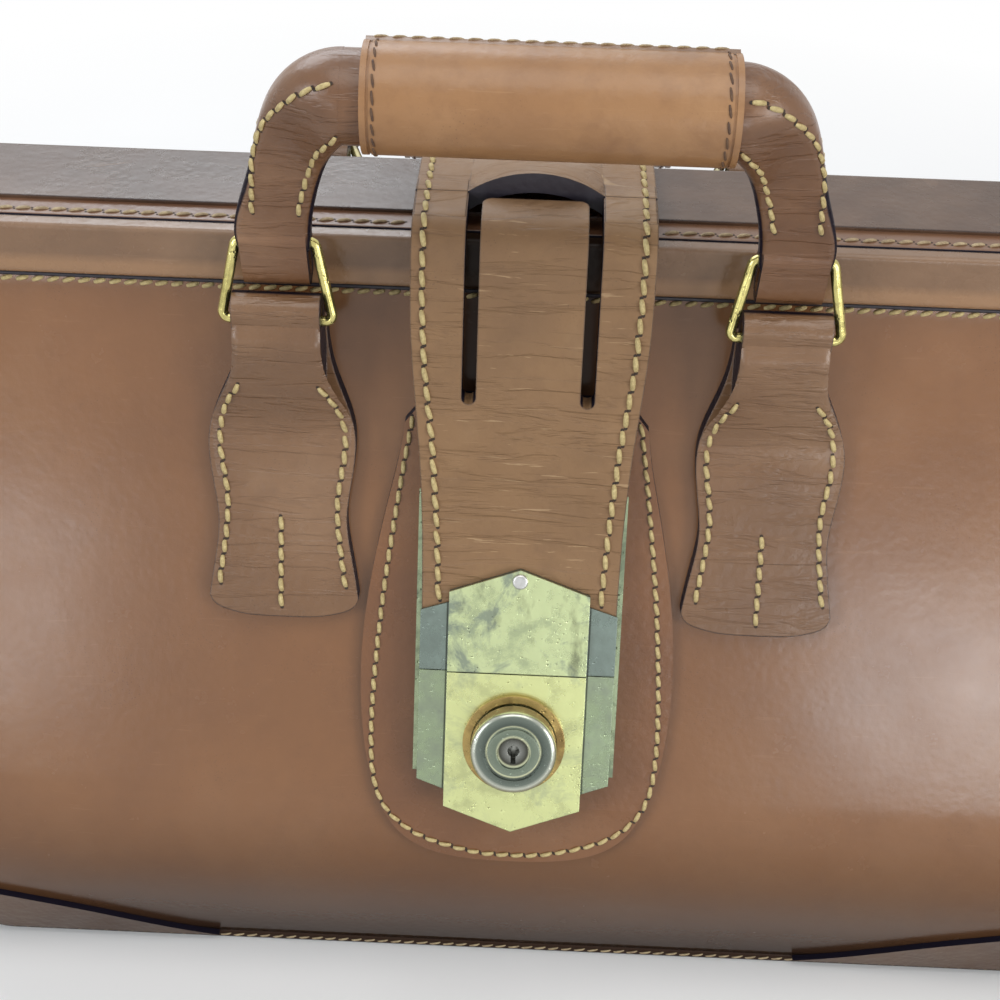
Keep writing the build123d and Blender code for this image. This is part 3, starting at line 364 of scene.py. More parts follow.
# painted shade towards the bottom of the corner patches
CORNER = leather("corner_leather", (0.150, 0.082, 0.048), (0.085, 0.048, 0.032),
                 (0.25, 0.150, 0.090), gloss=0.34, low_dark=0.5, contrast=1.2, coat=0.08,
                 side_axis=(0.0, 0.0, 1.0))
STRAP = leather("strap_leather", (0.255, 0.145, 0.069), (0.160, 0.088, 0.044),
                (0.400, 0.260, 0.140), gloss=0.50, side_axis=(1.0, 0.0, 0.0), creases=0.00028,
                rounding=0.0008, scratches=0.8, coat=0.05, blotch=0.45)
HANDLES = {
    end: leather(f"{end}_handle_leather", (0.165, 0.076, 0.034), (0.085, 0.040, 0.022),
                 (0.28, 0.150, 0.078), gloss=0.30, creases=0.0002, contrast=1.2,
                 side_axis=(1.0, 0.0, 0.0), side_reach=reach)
    for end, reach in LEG_REACH.items()
}
GRIP = leather("grip_leather", (0.335, 0.172, 0.074), (0.215, 0.102, 0.045), (0.430, 0.245, 0.122),
               gloss=0.36, blotch=0.55, coat=0.15)
SPINE = leather("spine_leather", (0.20, 0.105, 0.052), (0.12, 0.06, 0.035), (0.30, 0.17, 0.09),
                gloss=0.34)
# black dye for cut edges, and the colour of the painted shade cord under the rail
DYE_AND_SHADE = leather("dyed_edge_and_shade", (0.020, 0.016, 0.024), (0.010, 0.009, 0.014), (0.045, 0.034, 0.034),
               gloss=0.45)
KNOB_CENTRE = sum((Vector(corner) for corner in NODES["lock_knob"].bound_box), Vector()) / 8
BRASS = brass("brass", (0.61, 0.65, 0.31), (0.50, 0.53, 0.26), (0.22, 0.25, 0.19), patches=0.45,
              wings=(0.30, 0.37, 0.23))
HASP_BRASS = brass("hasp_brass", (0.53, 0.60, 0.33), (0.40, 0.46, 0.27), (0.15, 0.18, 0.16),
                   patches=0.8, wings=(0.20, 0.25, 0.22), streaks=0.6)
COLLAR_BRASS = brass("collar_brass", (0.42, 0.30, 0.11), (0.24, 0.16, 0.06), (0.12, 0.085, 0.04),
                     rough=0.2, patches=0.4)
BACK_BRASS = brass("back_brass", (0.32, 0.38, 0.24), (0.21, 0.25, 0.16), (0.10, 0.12, 0.09),
                   rounding=0.0)
RING_BRASS = brass("ring_brass", (0.60, 0.53, 0.20), (0.36, 0.31, 0.11), (0.20, 0.17, 0.08),
                   rough=0.22, rounding=0.0, patches=0.3)
BRONZE = brass("bronze", (0.20, 0.23, 0.18), (0.13, 0.15, 0.12), (0.07, 0.075, 0.06), rough=0.2,
               patches=0.3, rings_about=KNOB_CENTRE)
STEEL = brass("steel", (0.56, 0.56, 0.55), (0.35, 0.35, 0.35), (0.16, 0.13, 0.10), rough=0.3,
              rounding=0.0, patches=0.3)
FRAME_STEEL = brass("frame_steel", (0.26, 0.25, 0.23), (0.17, 0.16, 0.15), (0.10, 0.07, 0.05),
                    rough=0.38, rounding=0.0, patches=0.4)
THREAD = plain("linen_thread", (0.62, 0.50, 0.24), (0.40, 0.30, 0.13), 0.65, 900, 0.0001)
OLD_THREAD = plain("worn_thread", (0.46, 0.36, 0.21), (0.24, 0.17, 0.10), 0.7, 700, 0.0001)
DARK_THREAD = plain("dark_thread", (0.13, 0.07, 0.035), (0.06, 0.03, 0.02), 0.7, 700, 0.0001)
LINING = plain("drill_lining", (0.34, 0.27, 0.17), (0.24, 0.18, 0.11), 0.9, 260, 0.0001)
BOARD = plain("board", (0.30, 0.24, 0.16), (0.22, 0.17, 0.11), 0.9, 150, 0.0001)
# dark discs at the stitch ends: painted shade in the needle holes
NEEDLE_HOLE_SHADE = plain("needle_hole_shade", (0.040, 0.022, 0.012), (0.020, 0.012, 0.008), 0.8, 400, 0.00002)


def paint(node, material):
    """Gives a CAD mesh one material."""
    data = NODES[node].data
    data.materials.clear()
    data.materials.append(material)
    for polygon in data.polygons:
        polygon.material_index = 0


CORNERS = [f"{end}_{side}" for end in ("front", "rear") for side in ("left", "right")]
SHELL = ["front_panel", "front_lower_wall", "rear_panel", "left_end_gusset", "right_end_gusset"]
PAINT = {
    BODY: [*SHELL, "bottom_panel", "bottom_welt"],
    RAIL: ["front_rail", "rear_rail"],
    TOP: ["top_panel"],
    FLANGE: ["top_flange"],
    CHAPE: [f"{corner}_chape" for corner in CORNERS],
    PATCH: ["lock_patch"],
    CORNER: [f"{corner}_corner_patch" for corner in CORNERS],
    STRAP: ["strap_front", "strap_back"],
    HANDLES["front"]: ["front_handle"],
    HANDLES["rear"]: ["rear_handle"],
    GRIP: ["front_grip_sleeve", "rear_grip_sleeve"],
    BRASS: ["lock_case"],
    HASP_BRASS: ["hasp_plate"],
    COLLAR_BRASS: ["lock_collar"],
    BACK_BRASS: ["lock_backplate", "hasp_staple"],
    RING_BRASS: [f"{corner}_ring" for corner in CORNERS],
    BRONZE: ["lock_knob", "key_plug"],
    FRAME_STEEL: ["front_frame_bar", "rear_frame_bar", "frame_end_pins"],
    STEEL: ["hasp_rivet"],
    LINING: ["front_lining", "case_lining"],
    BOARD: ["base_board"],
}
for material, names in PAINT.items():
    for name in names:
        paint(name, material)


def dye_end(node, direction, low_y, high_y):
    """Dyes the faces of a strap end that look one way, between two depths in mm."""
    piece = NODES[node]
    piece.data.materials.append(DYE_AND_SHADE)
    for polygon in piece.data.polygons:
        centre = piece.matrix_world @ polygon.center
        if polygon.normal.dot(Vector(direction)) > 0.6 and low_y < centre.y / MM < high_y:
            polygon.material_index = 1


dye_end("strap_front", (0, 0.94, -0.34), -22.0, -17.0)
dye_end("strap_back", (0, -1, 0), -18.0, -16.0)


# Shapes laid on the CAD surfaces; sizes in millimetres until a mesh is made


def surface(*pieces):
    """A search tree over the faces of some pieces, each a CAD name or an object."""
    points, faces = [], []
    for piece in pieces:
        piece = NODES.get(piece) if isinstance(piece, str) else piece
        first = len(points)
        points += [piece.matrix_world @ vertex.co for vertex in piece.data.vertices]
        faces += [[first + index for index in polygon.vertices] for polygon in piece.data.polygons]
    return BVHTree.FromPolygons(points, faces)


def drop(tree, start, direction):
    """Where a ray meets the surface: the place and the outward normal, in mm."""
    direction = Vector(direction).normalized()
    place, normal, _, _ = tree.ray_cast(Vector(start) * MM, direction)
    if place is None:
        return None
    if normal.dot(direction) > 0:
        normal = -normal
    return place / MM, normal


def linked(name, data):
    """A new object in the scene."""
    thing = bpy.data.objects.new(name, data)
    bpy.context.scene.collection.objects.link(thing)
    return thing


def mesh_object(name, points, faces, material, smooth=True):
    """A mesh from points in mm."""
    mesh = bpy.data.meshes.new(name)
    mesh.from_pydata([Vector(point) * MM for point in points], [], faces)
    mesh.update()
    mesh.materials.append(material)
    for polygon in mesh.polygons:
        polygon.use_smooth = smooth
    return linked(name, mesh)


def quads(rings, columns, closed, first=0):
    """Faces between rings of points in a row, from point number first; closed ones join up."""
    faces = []
    for ring in range(rings):
        low = first + ring * columns
        for column in range(columns if closed else columns - 1):
            after = (column + 1) % columns
            faces.append([low + column, low + after, low + columns + after,
                          low + columns + column])
    return faces


def curve_through(knots, count):
    """Points on a smooth curve (Catmull-Rom) through the knots."""
    knots = [Vector(knot) for knot in knots]
    padded = [2 * knots[0] - knots[1], *knots, 2 * knots[-1] - knots[-2]]
    points = []
    spans = len(knots) - 1
    for step in range(count + 1):
        span = min(int(step / count * spans), spans - 1)
        t = step / count * spans - span
        a, b, c, d = padded[span:span + 4]
        points.append(0.5 * (2 * b + (c - a) * t + (2 * a - 5 * b + 4 * c - d) * t * t
                             + (3 * b - a - 3 * c + d) * t ** 3))
    return points


def resample(samples, pitch):
    """Even steps along a row of (place, normal) samples, each with the row's direction."""
    result = []
    carried = pitch / 2
    for (start, normal), (end, _) in zip(samples, samples[1:]):
        length = (end - start).length
        if length < 1e-6:
            continue
        while carried <= length:
            result.append((start.lerp(end, carried / length), normal, (end - start) / length))
            carried += pitch
        carried -= length
    return result


STITCH_RINGS = 6
STITCH_SEGMENTS = 8
STITCH_SHARE = 0.88  # of the pitch
SLANT_SCATTER = 3  # degrees
LENGTH_SCATTER = (0.94, 1.04)
HOLE_GAP = 0.1  # from the stitch's end to the needle hole
HOLE_RISE = 0.05
HOLE_SHARE = 0.36  # a hole's radius, of the thread's thickness


def stitches(name, rows, pitch, material, thickness, slant=9.0, sink=0.22, holes=False):
    """One mesh of spindle-shaped stitches along rows of (place, normal) samples.

    slant turns each stitch, in degrees, and sink is the part of its thickness that lies in
    the leather. holes puts a dark disc at each end of it, painted shade for a needle hole.
    """
    points, faces, hole_faces = [], [], []
    turns = [2 * math.pi * segment / STITCH_SEGMENTS for segment in range(STITCH_SEGMENTS)]
    for samples in rows:
        for place, normal, along in resample([sample for sample in samples if sample], pitch):
            side = normal.cross(along).normalized()
            turn = math.radians(slant + random.uniform(-SLANT_SCATTER, SLANT_SCATTER))
            along = (along * math.cos(turn) + side * math.sin(turn)).normalized()
            side = normal.cross(along).normalized()
            half = pitch * STITCH_SHARE * random.uniform(*LENGTH_SCATTER) / 2
            middle = place + normal * (thickness * (0.5 - sink))
            faces += quads(STITCH_RINGS, STITCH_SEGMENTS, True, len(points))
            for ring in range(STITCH_RINGS + 1):
                angle = math.pi * ring / STITCH_RINGS
                reach = -math.cos(angle) * half
                width = thickness / 2 * max(math.sin(angle), 0.02) ** 0.55
                sag = -thickness * 0.45 * (reach / half) ** 4
                for turn in turns:
                    points.append(middle + along * reach + side * math.cos(turn) * width
                                  + normal * (math.sin(turn) * width * 0.8 + sag))
            if not holes:
                continue
            # dark discs: painted shade in the needle holes
            for end in (-1, 1):
                centre = place + along * (end * (half + HOLE_GAP)) + normal * HOLE_RISE
                hole_faces.append(list(range(len(points), len(points) + STITCH_SEGMENTS)))
                for turn in turns:
                    out = along * math.cos(turn) + side * math.sin(turn)
                    points.append(centre + out * thickness * HOLE_SHARE)
    thing = mesh_object(name, points, faces + hole_faces, material)
    thing.data.materials.append(NEEDLE_HOLE_SHADE)
    for polygon in list(thing.data.polygons)[len(faces):]:
        polygon.material_index = 1
    return thing


TUBE_SEGMENTS = 10


def tube(name, path, radius, material):
    """A round cord along a path of (place, normal) samples."""
    points = []
    path = [sample for sample in path if sample]
    last = len(path) - 1
    for index, (place, normal) in enumerate(path):
        along = (path[min(index + 1, last)][0] - path[max(index - 1, 0)][0]).normalized()
        side = normal.cross(along).normalized()
        for segment in range(TUBE_SEGMENTS):
            turn = 2 * math.pi * segment / TUBE_SEGMENTS
            points.append(place + (side * math.cos(turn) + normal * math.sin(turn)) * radius)
    return mesh_object(name, points, quads(last, TUBE_SEGMENTS, True), material)


# Leather skins of the body, taken from the CAD surface

BODY_STATIONS = (  # height, half width, half depth and corner radius
    (0, 197, 74, 24), (16, 199.3, 79.7, 25), (32, 200.8, 84.5, 26), (48, 201.6, 87.5, 27),
    (61.6, 202, 86.9, 27), (82, 202, 81.2, 27), (234, 196.5, 20.3, 9), (247, 196.5, 20.3, 9))
WELT_TOP = 4.7
BODY_TOP = 246.8
SEAM_FOLD = (50.0, 48.0)  # y and z of the end seams at the fold
SEAM_TOP = (8.0, 247.0)
SIDE_STEPS, CORNER_STEPS, FACE_STEPS, END_STEPS = 9, 10, 46, 24
END_OVERLAP = 4.0  # of the end skins past the seams
SKIN_MIDDLE_Z = 90  # the rows lie closer below it
SKIN_ROWS_BELOW, SKIN_ROWS_ABOVE = 30, 26
SKIN_SEARCH = 30  # rays start this far outside the stations
SKIN_CATCH = 6  # how far the CAD surface may be from them


def station(height):
    """Half width, half depth and corner radius of the body at a height."""
    for low, high in zip(BODY_STATIONS, BODY_STATIONS[1:]):
        if height <= high[0]:
            share = (height - low[0]) / (high[0] - low[0])
            return [a + (b - a) * share for a, b in zip(low[1:], high[1:])]
    return BODY_STATIONS[-1][1:]


def seam_y(height):
    """How far the end seams are from the middle plane at a height."""
    if height <= SEAM_FOLD[1]:
        return SEAM_FOLD[0]
    share = (height - SEAM_FOLD[1]) / (SEAM_TOP[1] - SEAM_FOLD[1])
    return SEAM_FOLD[0] + (SEAM_TOP[0] - SEAM_FOLD[0]) * share


def face_ring(height, sign):
    """Places and directions round the front (sign -1) or back of the body, seam to seam."""
    width, depth, corner = station(height)
    seam = seam_y(height)
    side_x, side_y = width - corner, depth - corner
    ring = []
    for step in range(SIDE_STEPS):
        ring.append(((-width, sign * (seam + (side_y - seam) * step / SIDE_STEPS)), (-1, 0)))
    for step in range(CORNER_STEPS + 1):
        turn = math.pi / 2 * step / CORNER_STEPS
        way = (-math.cos(turn), sign * math.sin(turn))
        ring.append(((-side_x + way[0] * corner, sign * side_y + way[1] * corner), way))
    mirrored = [((-x, y), (-a, b)) for (x, y), (a, b) in reversed(ring)]
    for step in range(1, FACE_STEPS):
        ring.append(((side_x * (2 * step / FACE_STEPS - 1), sign * depth), (0, sign)))
    return ring + mirrored


def end_ring(height, sign):
    """Places and directions across one end gusset, a little past both seams."""
    width = station(height)[0]
    reach = seam_y(height) + END_OVERLAP
    return [((sign * width, reach * (2 * step / END_STEPS - 1)), (sign, 0))
            for step in range(END_STEPS + 1)]


def skin(name, ring_at, sink, thickness):
    """A sheet laid on the body's CAD surface, sink below it."""
    heights = [WELT_TOP + (SKIN_MIDDLE_Z - WELT_TOP) * step / SKIN_ROWS_BELOW
               for step in range(SKIN_ROWS_BELOW + 1)]
    heights += [SKIN_MIDDLE_Z + (BODY_TOP - SKIN_MIDDLE_Z) * step / SKIN_ROWS_ABOVE
                for step in range(1, SKIN_ROWS_ABOVE + 1)]
    points = []
    for height in heights:
        for (x, y), (a, b) in ring_at(height):
            place = Vector((x, y, height))
            found = drop(BODY_SURFACE, (x + SKIN_SEARCH * a, y + SKIN_SEARCH * b, height),
                         (-a, -b, 0))
            if found and (found[0] - place).length < SKIN_CATCH:
                place = found[0]
            points.append(place - Vector((a, b, 0)) * sink)
    faces = quads(len(heights) - 1, len(ring_at(heights[0])), False)
    sheet = mesh_object(name, points, faces, BODY)
    middle = faces[len(faces) // 2]
    start = points[middle[0]]
    normal = (points[middle[1]] - start).cross(points[middle[3]] - start)
    if normal.dot(Vector((start.x, start.y, 0))) < 0:
        sheet.data.flip_normals()
    thicken = sheet.modifiers.new("thickness", "SOLIDIFY")
    thicken.thickness = thickness * MM
    thicken.offset = -1.0
    thicken.use_even_offset = False
    bpy.context.view_layer.objects.active = sheet
    sheet.select_set(True)
    bpy.ops.object.modifier_apply(modifier=thicken.name)
    sheet.select_set(False)
    return sheet

PANEL_SKIN = 3.8  # thicknesses
END_SKIN = 3.2
END_SINK = 0.5

BODY_SURFACE = surface(*SHELL)
front_skin = skin("front_skin", lambda height: face_ring(height, -1), 0.0, PANEL_SKIN)
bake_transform(front_skin)
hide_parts("front_panel", "front_lower_wall")
rear_skin = skin("rear_skin", lambda height: face_ring(height, 1), 0.0, PANEL_SKIN)
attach(rear_skin, "case")
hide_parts("rear_panel")
for side, sign in (("left", -1), ("right", 1)):
    end_skin = skin(f"{side}_end_skin", lambda height: end_ring(height, sign), END_SINK, END_SKIN)
    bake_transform(end_skin)
    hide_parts(f"{side}_end_gusset")

SEAM_ROW_START = WELT_TOP + 0.5
SEAM_ROW_END = 232
SEAM_ROW_STEPS = 60
SEAM_ROW_INSET = 3.6
CORD_INSET = 0.6
CORD_RADIUS = 1.5
END_RAY = 240


def end_seam(sign_x, sign_y, inset):
    """Samples up an end seam, inset from it along the end."""
    samples = []
    for step in range(SEAM_ROW_STEPS + 1):
        height = SEAM_ROW_START + (SEAM_ROW_END - WELT_TOP) * step / SEAM_ROW_STEPS
        y = sign_y * (seam_y(height) + inset)
        found = drop(BODY_SURFACE, (sign_x * END_RAY, y, height), (-sign_x, 0, 0))
        if found:
            samples.append((found[0], Vector((sign_x, 0, 0))))
    return samples


def hold_seam(thing, sign_y):
    """The front seams are left unattached, with their transform baked in; the rear ones ride the
    case.
    """
    if sign_y < 0:
        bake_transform(thing)
    else:
        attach(thing, "case")


for end, sign_y in (("front", -1), ("rear", 1)):
    rows = [end_seam(sign_x, sign_y, SEAM_ROW_INSET) for sign_x in (-1, 1)]
    seam_thread = stitches(f"{end}_seam_stitches", rows, 5.4, OLD_THREAD, 0.9)
    for side, sign_x in (("left", -1), ("right", 1)):
        path = end_seam(sign_x, sign_y, CORD_INSET)
        hold_seam(tube(f"{end}_{side}_seam_cord", path, CORD_RADIUS, CORNER), sign_y)
    hold_seam(seam_thread, sign_y)


# Stitching on the frame, chapes, lock patch, strap and base

ABOVE = 320  # rays start this far up or out, clear of the case
ROW_STEP = 2.0
FLANGE_INNER_X, FLANGE_OUTER_X = 37, 188
FLANGE_ROW_Y = -16.6
RAIL_ROW_X = 190
RAIL_ROW_Z = 231.0
# end and height of the dark cord of painted shade under the rail
SHADE_LINE_END_X = 195
SHADE_LINE_Z = 232.4


def flange_row(x_from, x_to):
    """Samples along the flange, seen from above."""
    count = int((x_to - x_from) / ROW_STEP)
    xs = [x_from + (x_to - x_from) * step / count for step in range(count + 1)]
    return [drop(flange_tree, (x, FLANGE_ROW_Y, ABOVE), (0, 0, -1)) for x in xs]


def view_row(tree, knots, sign=-1, count=60):
    """Samples on a surface seen from the front (sign -1) or back, through knots of x and z."""
    return [drop(tree, (x, sign * ABOVE, z), (0, -sign, 0)) for x, z in curve_through(knots, count)]


def panel_row(reach, z):
    """Samples across the front panel under the rail."""
    return view_row(surface("front_panel"), [(-reach, z), (reach, z)], count=190)


flange_tree = surface("top_flange")
rows = [flange_row(-FLANGE_OUTER_X, -FLANGE_INNER_X), flange_row(FLANGE_INNER_X, FLANGE_OUTER_X)]
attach(stitches("flange_stitches", rows, 5.2, OLD_THREAD, 1.2, slant=14.0, holes=True), "case")
row = panel_row(RAIL_ROW_X, RAIL_ROW_Z)
rail_stitches = stitches("rail_stitches", [row], 4.6, THREAD, 1.45, slant=16.0, holes=True)
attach(rail_stitches, "front_half")
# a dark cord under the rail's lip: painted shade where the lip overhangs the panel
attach(tube("rail_shade_line", panel_row(SHADE_LINE_END_X, SHADE_LINE_Z), 0.8, DYE_AND_SHADE), "front_half")


def widened(field, down, across, pick):
    """Each value of a grid replaced by pick() of the values round it."""
    rows, columns = len(field), len(field[0])
    return [[pick([field[r][c]
                   for r in range(max(row - down, 0), min(row + down + 1, rows))
                   for c in range(max(column - across, 0), min(column + across + 1, columns))])
             for column in range(columns)] for row in range(rows)]


def mean(values):
    return sum(values) / len(values)


CHAPE_X = 72.8  # of each chape's middle
LEAF_TOP = 231.0
LEAF_STEP = 1.25
LEAF_ROWS = 45
LEAF_COLUMNS = 26
LEAF_LIFT = 0.12  # over the CAD surface
LEAF_TUCK = -0.5  # at the rim
LEAF_END_ROWS, LEAF_END_DROP = 6, 0.04  # the last rows sink towards the chape
EDGE_START, EDGE_END, EDGE_STEP = 10.0, 26, 0.3  # of the search for the chape's edge
LOOP_Z = 226.5  # above it the leaf goes over to the loop's own shape
LOOP_FADE = 4.5
CHAPE_ROW = ((11.5, 211), (16.6, 202), (18.8, 190), (16.6, 171), (19.6, 146))
MIDDLE_ROW = ((-0.4, 169), (-0.4, 142))


def chape_face(name, middle, sign_y):
    """The chape's front leaf where the loop runs out into the wide part, in one smooth sheet."""
    tree = surface(f"{name}_chape")
    out = Vector((0, sign_y * math.cos(LEAN), math.sin(LEAN)))

    def hit(x, height):
        return drop(tree, (x, sign_y * ABOVE, height), (0, -sign_y, 0))

    heights = [LEAF_TOP - LEAF_STEP * step for step in range(LEAF_ROWS)]
    columns, field = [], []
    for height in heights:
        reach = []
        for side in (-1, 1):
            edge = EDGE_START
            while edge < EDGE_END and hit(middle + side * (edge + EDGE_STEP), height):
                edge += EDGE_STEP
            reach.append(edge)
        left, right = reach
        xs = [middle - left + (left + right) * step / LEAF_COLUMNS
              for step in range(LEAF_COLUMNS + 1)]
        hits = [hit(x, height) for x in xs]
        columns.append(xs)
        field.append([found[0].dot(out) if found else None for found in hits])
    lowest = min(value for row in field for value in row if value is not None)
    close = [[lowest if value is None else value for value in row] for row in field]
    field = widened(close, 4, 3, max)
    for _ in range(2):
        field = widened(field, 2, 2, mean)
    points = []
    last = LEAF_ROWS - 1
    for row, height in enumerate(heights):
        share = min(max((height - LOOP_Z) / LOOP_FADE, 0.0), 1.0)
        for column, (x, value) in enumerate(zip(columns[row], field[row])):
            value += (close[row][column] - value) * share
            lift = LEAF_LIFT
            if column in (0, LEAF_COLUMNS) or row == 0:
                lift = LEAF_TUCK
            elif row > last - LEAF_END_ROWS:
                lift -= LEAF_END_DROP * (row - last + LEAF_END_ROWS)
            y = sign_y * (value + lift - height * math.sin(LEAN)) / math.cos(LEAN)
            points.append((x, y, height))
    faces = quads(last, LEAF_COLUMNS + 1, False)
    if sign_y < 0:
        faces = [face[::-1] for face in faces]
    return mesh_object(f"{name}_chape_face", points, faces, CHAPE)


for end, body, sign_y in (("front", "front_half", -1), ("rear", "case", 1)):
    for side, sign_x in (("left", -1), ("right", 1)):
        name = f"{end}_{side}"
        middle = sign_x * CHAPE_X
        face = chape_face(name, middle, sign_y)
        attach(face, body)
        tree = surface(f"{name}_chape", face)
        rows = [view_row(tree, [(middle + way * x, z) for x, z in CHAPE_ROW], sign_y)
                for way in (-1, 1)]
        rows.append(view_row(tree, [(middle + x, z) for x, z in MIDDLE_ROW], sign_y, 20))
        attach(stitches(f"{name}_chape_stitches", rows, 4.9, THREAD, 1.6, holes=True), body)

PATCH_ROW = ((33.6, 201), (37.8, 176), (42.6, 140), (44.9, 104), (42.2, 84), (31.6, 72.4),
             (14, 66.3), (0, 65.1))
around = view_row(surface("lock_patch"), [*PATCH_ROW, *((-x, z) for x, z in PATCH_ROW[-2::-1])],
                  count=160)
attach(stitches("patch_stitches", [around], 4.7, THREAD, 1.45, holes=True), "front_half")

strap_front_tree = surface("strap_front")
strap_back_tree = surface("strap_back")
STRAP_EDGE = (  # height, and half the strap's width there
    (130, 29.2), (150, 29.6), (172, 30.3), (196, 31.4), (220, 33.6), (240, 34.5), (300, 34.5))
STRAP_PITCH = 5.7
STRAP_THREAD = 1.65  # thickness
STRAP_SEAM_X = 31.1  # of the rows over the top
SEAM_INSET = 3.4
SEAM_INSET_LOW = 1.7  # more than that at the lower end
SEAM_LOW_Z = 150
SEAM_STRAIGHT_Z = 226
SEAM_STEP = 1.6
BEND_CENTRE = (-22, 252)  # y and z of the strap's turn over the rail
BEND_RAY = 60
BEND_START_Y = -28.5
BEND_END_Y = -10.5


def strap_edge(height):
    """Half the strap's width at a height."""
    for (z0, x0), (z1, x1) in zip(STRAP_EDGE, STRAP_EDGE[1:]):
        if height <= z1:
            return x0 + (x1 - x0) * max(height - z0, 0) / (z1 - z0)
    return STRAP_EDGE[-1][1]


def strap_row(sign):
    """Samples up the strap's front face and over, as far as the strip that bends."""
    samples = []
    for step in range(65):
        height = SEAM_LOW_Z + SEAM_STEP * step
        low = max(0.0, 1 - (height - SEAM_LOW_Z) / (SEAM_STRAIGHT_Z - SEAM_LOW_Z))
        x = sign * (strap_edge(height) - (SEAM_INSET + SEAM_INSET_LOW * low))
        samples.append(drop(strap_front_tree, (x, -200, height), (0, 1, 0)))
    for angle in [math.radians(15 + 6.5 * step) for step in range(12)]:
        start = (sign * STRAP_SEAM_X, BEND_CENTRE[0] - BEND_RAY * math.cos(angle),
                 BEND_CENTRE[1] + BEND_RAY * math.sin(angle))
        way = (0, math.cos(angle), -math.sin(angle))
        samples.append(drop(strap_front_tree, start, way))
    return [sample for sample in samples if sample and sample[0].y < BEND_START_Y]


def strap_stitches(name, rows):
    return stitches(name, rows, STRAP_PITCH, THREAD, STRAP_THREAD, holes=True)


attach(strap_stitches("strap_stitches", [strap_row(-1), strap_row(1)]), "strap")
back_rows = []
for sign in (-1, 1):
    x = sign * STRAP_SEAM_X
    row = [drop(strap_back_tree, (x, BEND_END_Y + 1.5 * step, ABOVE), (0, 0, -1))
           for step in range(24)]
    row += [drop(strap_back_tree, (x, 120, 255 - SEAM_STEP * step), (0, -1, 0))
            for step in range(34)]
    back_rows.append(row)
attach(strap_stitches("strap_tail_stitches", back_rows), "case")

STRIP_START_Y = -31
STRIP_STEP = 0.9
STRIP_SAMPLES = 26
STRIP_INNER_X, STRIP_OUTER_X = 19.15, 34.6
STRIP_BEVEL = 0.5
STRIP_DROP = 0.6  # of the edge beside the bevel
STRIP_LIFT = 0.12  # over the strap's face
STRIP_END_LIFTS = (-0.9, 0.02)
STRIP_UNDER = -5.6


def strap_bend(name, low_x, high_x):
    """Leather that bends where one of the strap's edge strips crosses the cut."""
    both = surface("strap_front", "strap_back")
    across = (low_x + high_x) / 2
    samples = [drop(both, (across, STRIP_START_Y + STRIP_STEP * step, ABOVE), (0, 0, -1))
               for step in range(STRIP_SAMPLES)]
    samples = [sample for sample in samples if sample]
    last = len(samples) - 1
    points = []
    for index, (place, _) in enumerate(samples):
        along = samples[min(index + 1, last)][0] - samples[max(index - 1, 0)][0]
        out = Vector((1, 0, 0)).cross(along).normalized()
        out = out if out.z > 0 else -out
        from_end = min(index, last - index)
        lift = STRIP_LIFT if from_end > 1 else STRIP_END_LIFTS[from_end]
        edge, under = lift - STRIP_DROP, STRIP_UNDER - STRIP_BEVEL
        inner, outer = low_x + STRIP_BEVEL, high_x - STRIP_BEVEL
        for x, rise in ((low_x, edge), (inner, lift), (outer, lift), (high_x, edge),
                        (high_x, STRIP_UNDER), (outer, under), (inner, under),
                        (low_x, STRIP_UNDER)):
            points.append(Vector((x, place.y, place.z)) + out * rise)
    faces = quads(last, 8, True)
    faces.append(list(range(8)))
    faces.append(list(range(len(points) - 8, len(points))))
    return mesh_object(name, points, faces, STRAP, smooth=False)


for side, sign in (("left", -1), ("right", 1)):
    low_x, high_x = sorted((sign * STRIP_INNER_X, sign * STRIP_OUTER_X))
    bend = strap_bend(f"{side}_strap_bend", low_x, high_x)
    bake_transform(bend)
    bend_tree = surface(bend)
    row = [drop(bend_tree, (sign * STRAP_SEAM_X, BEND_START_Y + step, ABOVE), (0, 0, -1))
           for step in range(19)]
    bend_stitches = strap_stitches(f"{side}_bend_stitches", [row])
    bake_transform(bend_stitches)

WELT_ROW_Z = 2.4
WELT_CORE = (172, 49)  # the rays round the welt meet on this rectangle
WELT_RAY = 400

welt_tree = surface("bottom_welt")
welt_row = []
for angle in [2 * math.pi * step / 360 for step in range(361)]:
    start = Vector((WELT_RAY * math.cos(angle), WELT_RAY * math.sin(angle), WELT_ROW_Z))
    core_x, core_y = (max(min(value, end), -end) for value, end in zip(start, WELT_CORE))
    welt_row.append(drop(welt_tree, start, Vector((core_x, core_y, WELT_ROW_Z)) - start))
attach(stitches("welt_stitches", [welt_row], 4.6, OLD_THREAD, 0.8, slant=14.0), "case")


# Stitching on the handles, in each handle's own axes

# y and z of each handle's origin, and its lean in degrees
HANDLE_AXES = {"front": (-34.486, 253.236, 15.2), "rear": (60.486, 239.114, -102.0)}
LEG_RAY = 60
GRIP_SHIFT = {"front": 2.6, "rear": 0.0}  # of the sleeve along x
GRIP_Z = 51.0
GRIP_R = 14.4
GRIP_HALF = 47.8
HEM_INSET = 3.4
INNER_ROW = ((65.0, 13), (62.8, 22), (60.2, 30.5), (57.2, 38.8), (52.4, 46.0))
OUTER_ROW = ((77.6, 13), (76.6, 22), (75.2, 33), (71.2, 44.6), (64.0, 54.0))
OUTER_ENDS = {-1: ((57.6, 58.8), (52.2, 60.6)), 1: ((57.6, 56.0), (52.2, 57.0))}
SPINE_STEPS = 44
SPINE_TURNS = 8
SPINE_START, SPINE_TURN = 6, 7  # degrees
SPINE_RISE = 0.9
SPINE_TUCK = -0.3
SPINE_INSET = 0.3
SPINE_ROWS = (14, 54)  # degrees
SPINE_ROW_HALF = 46


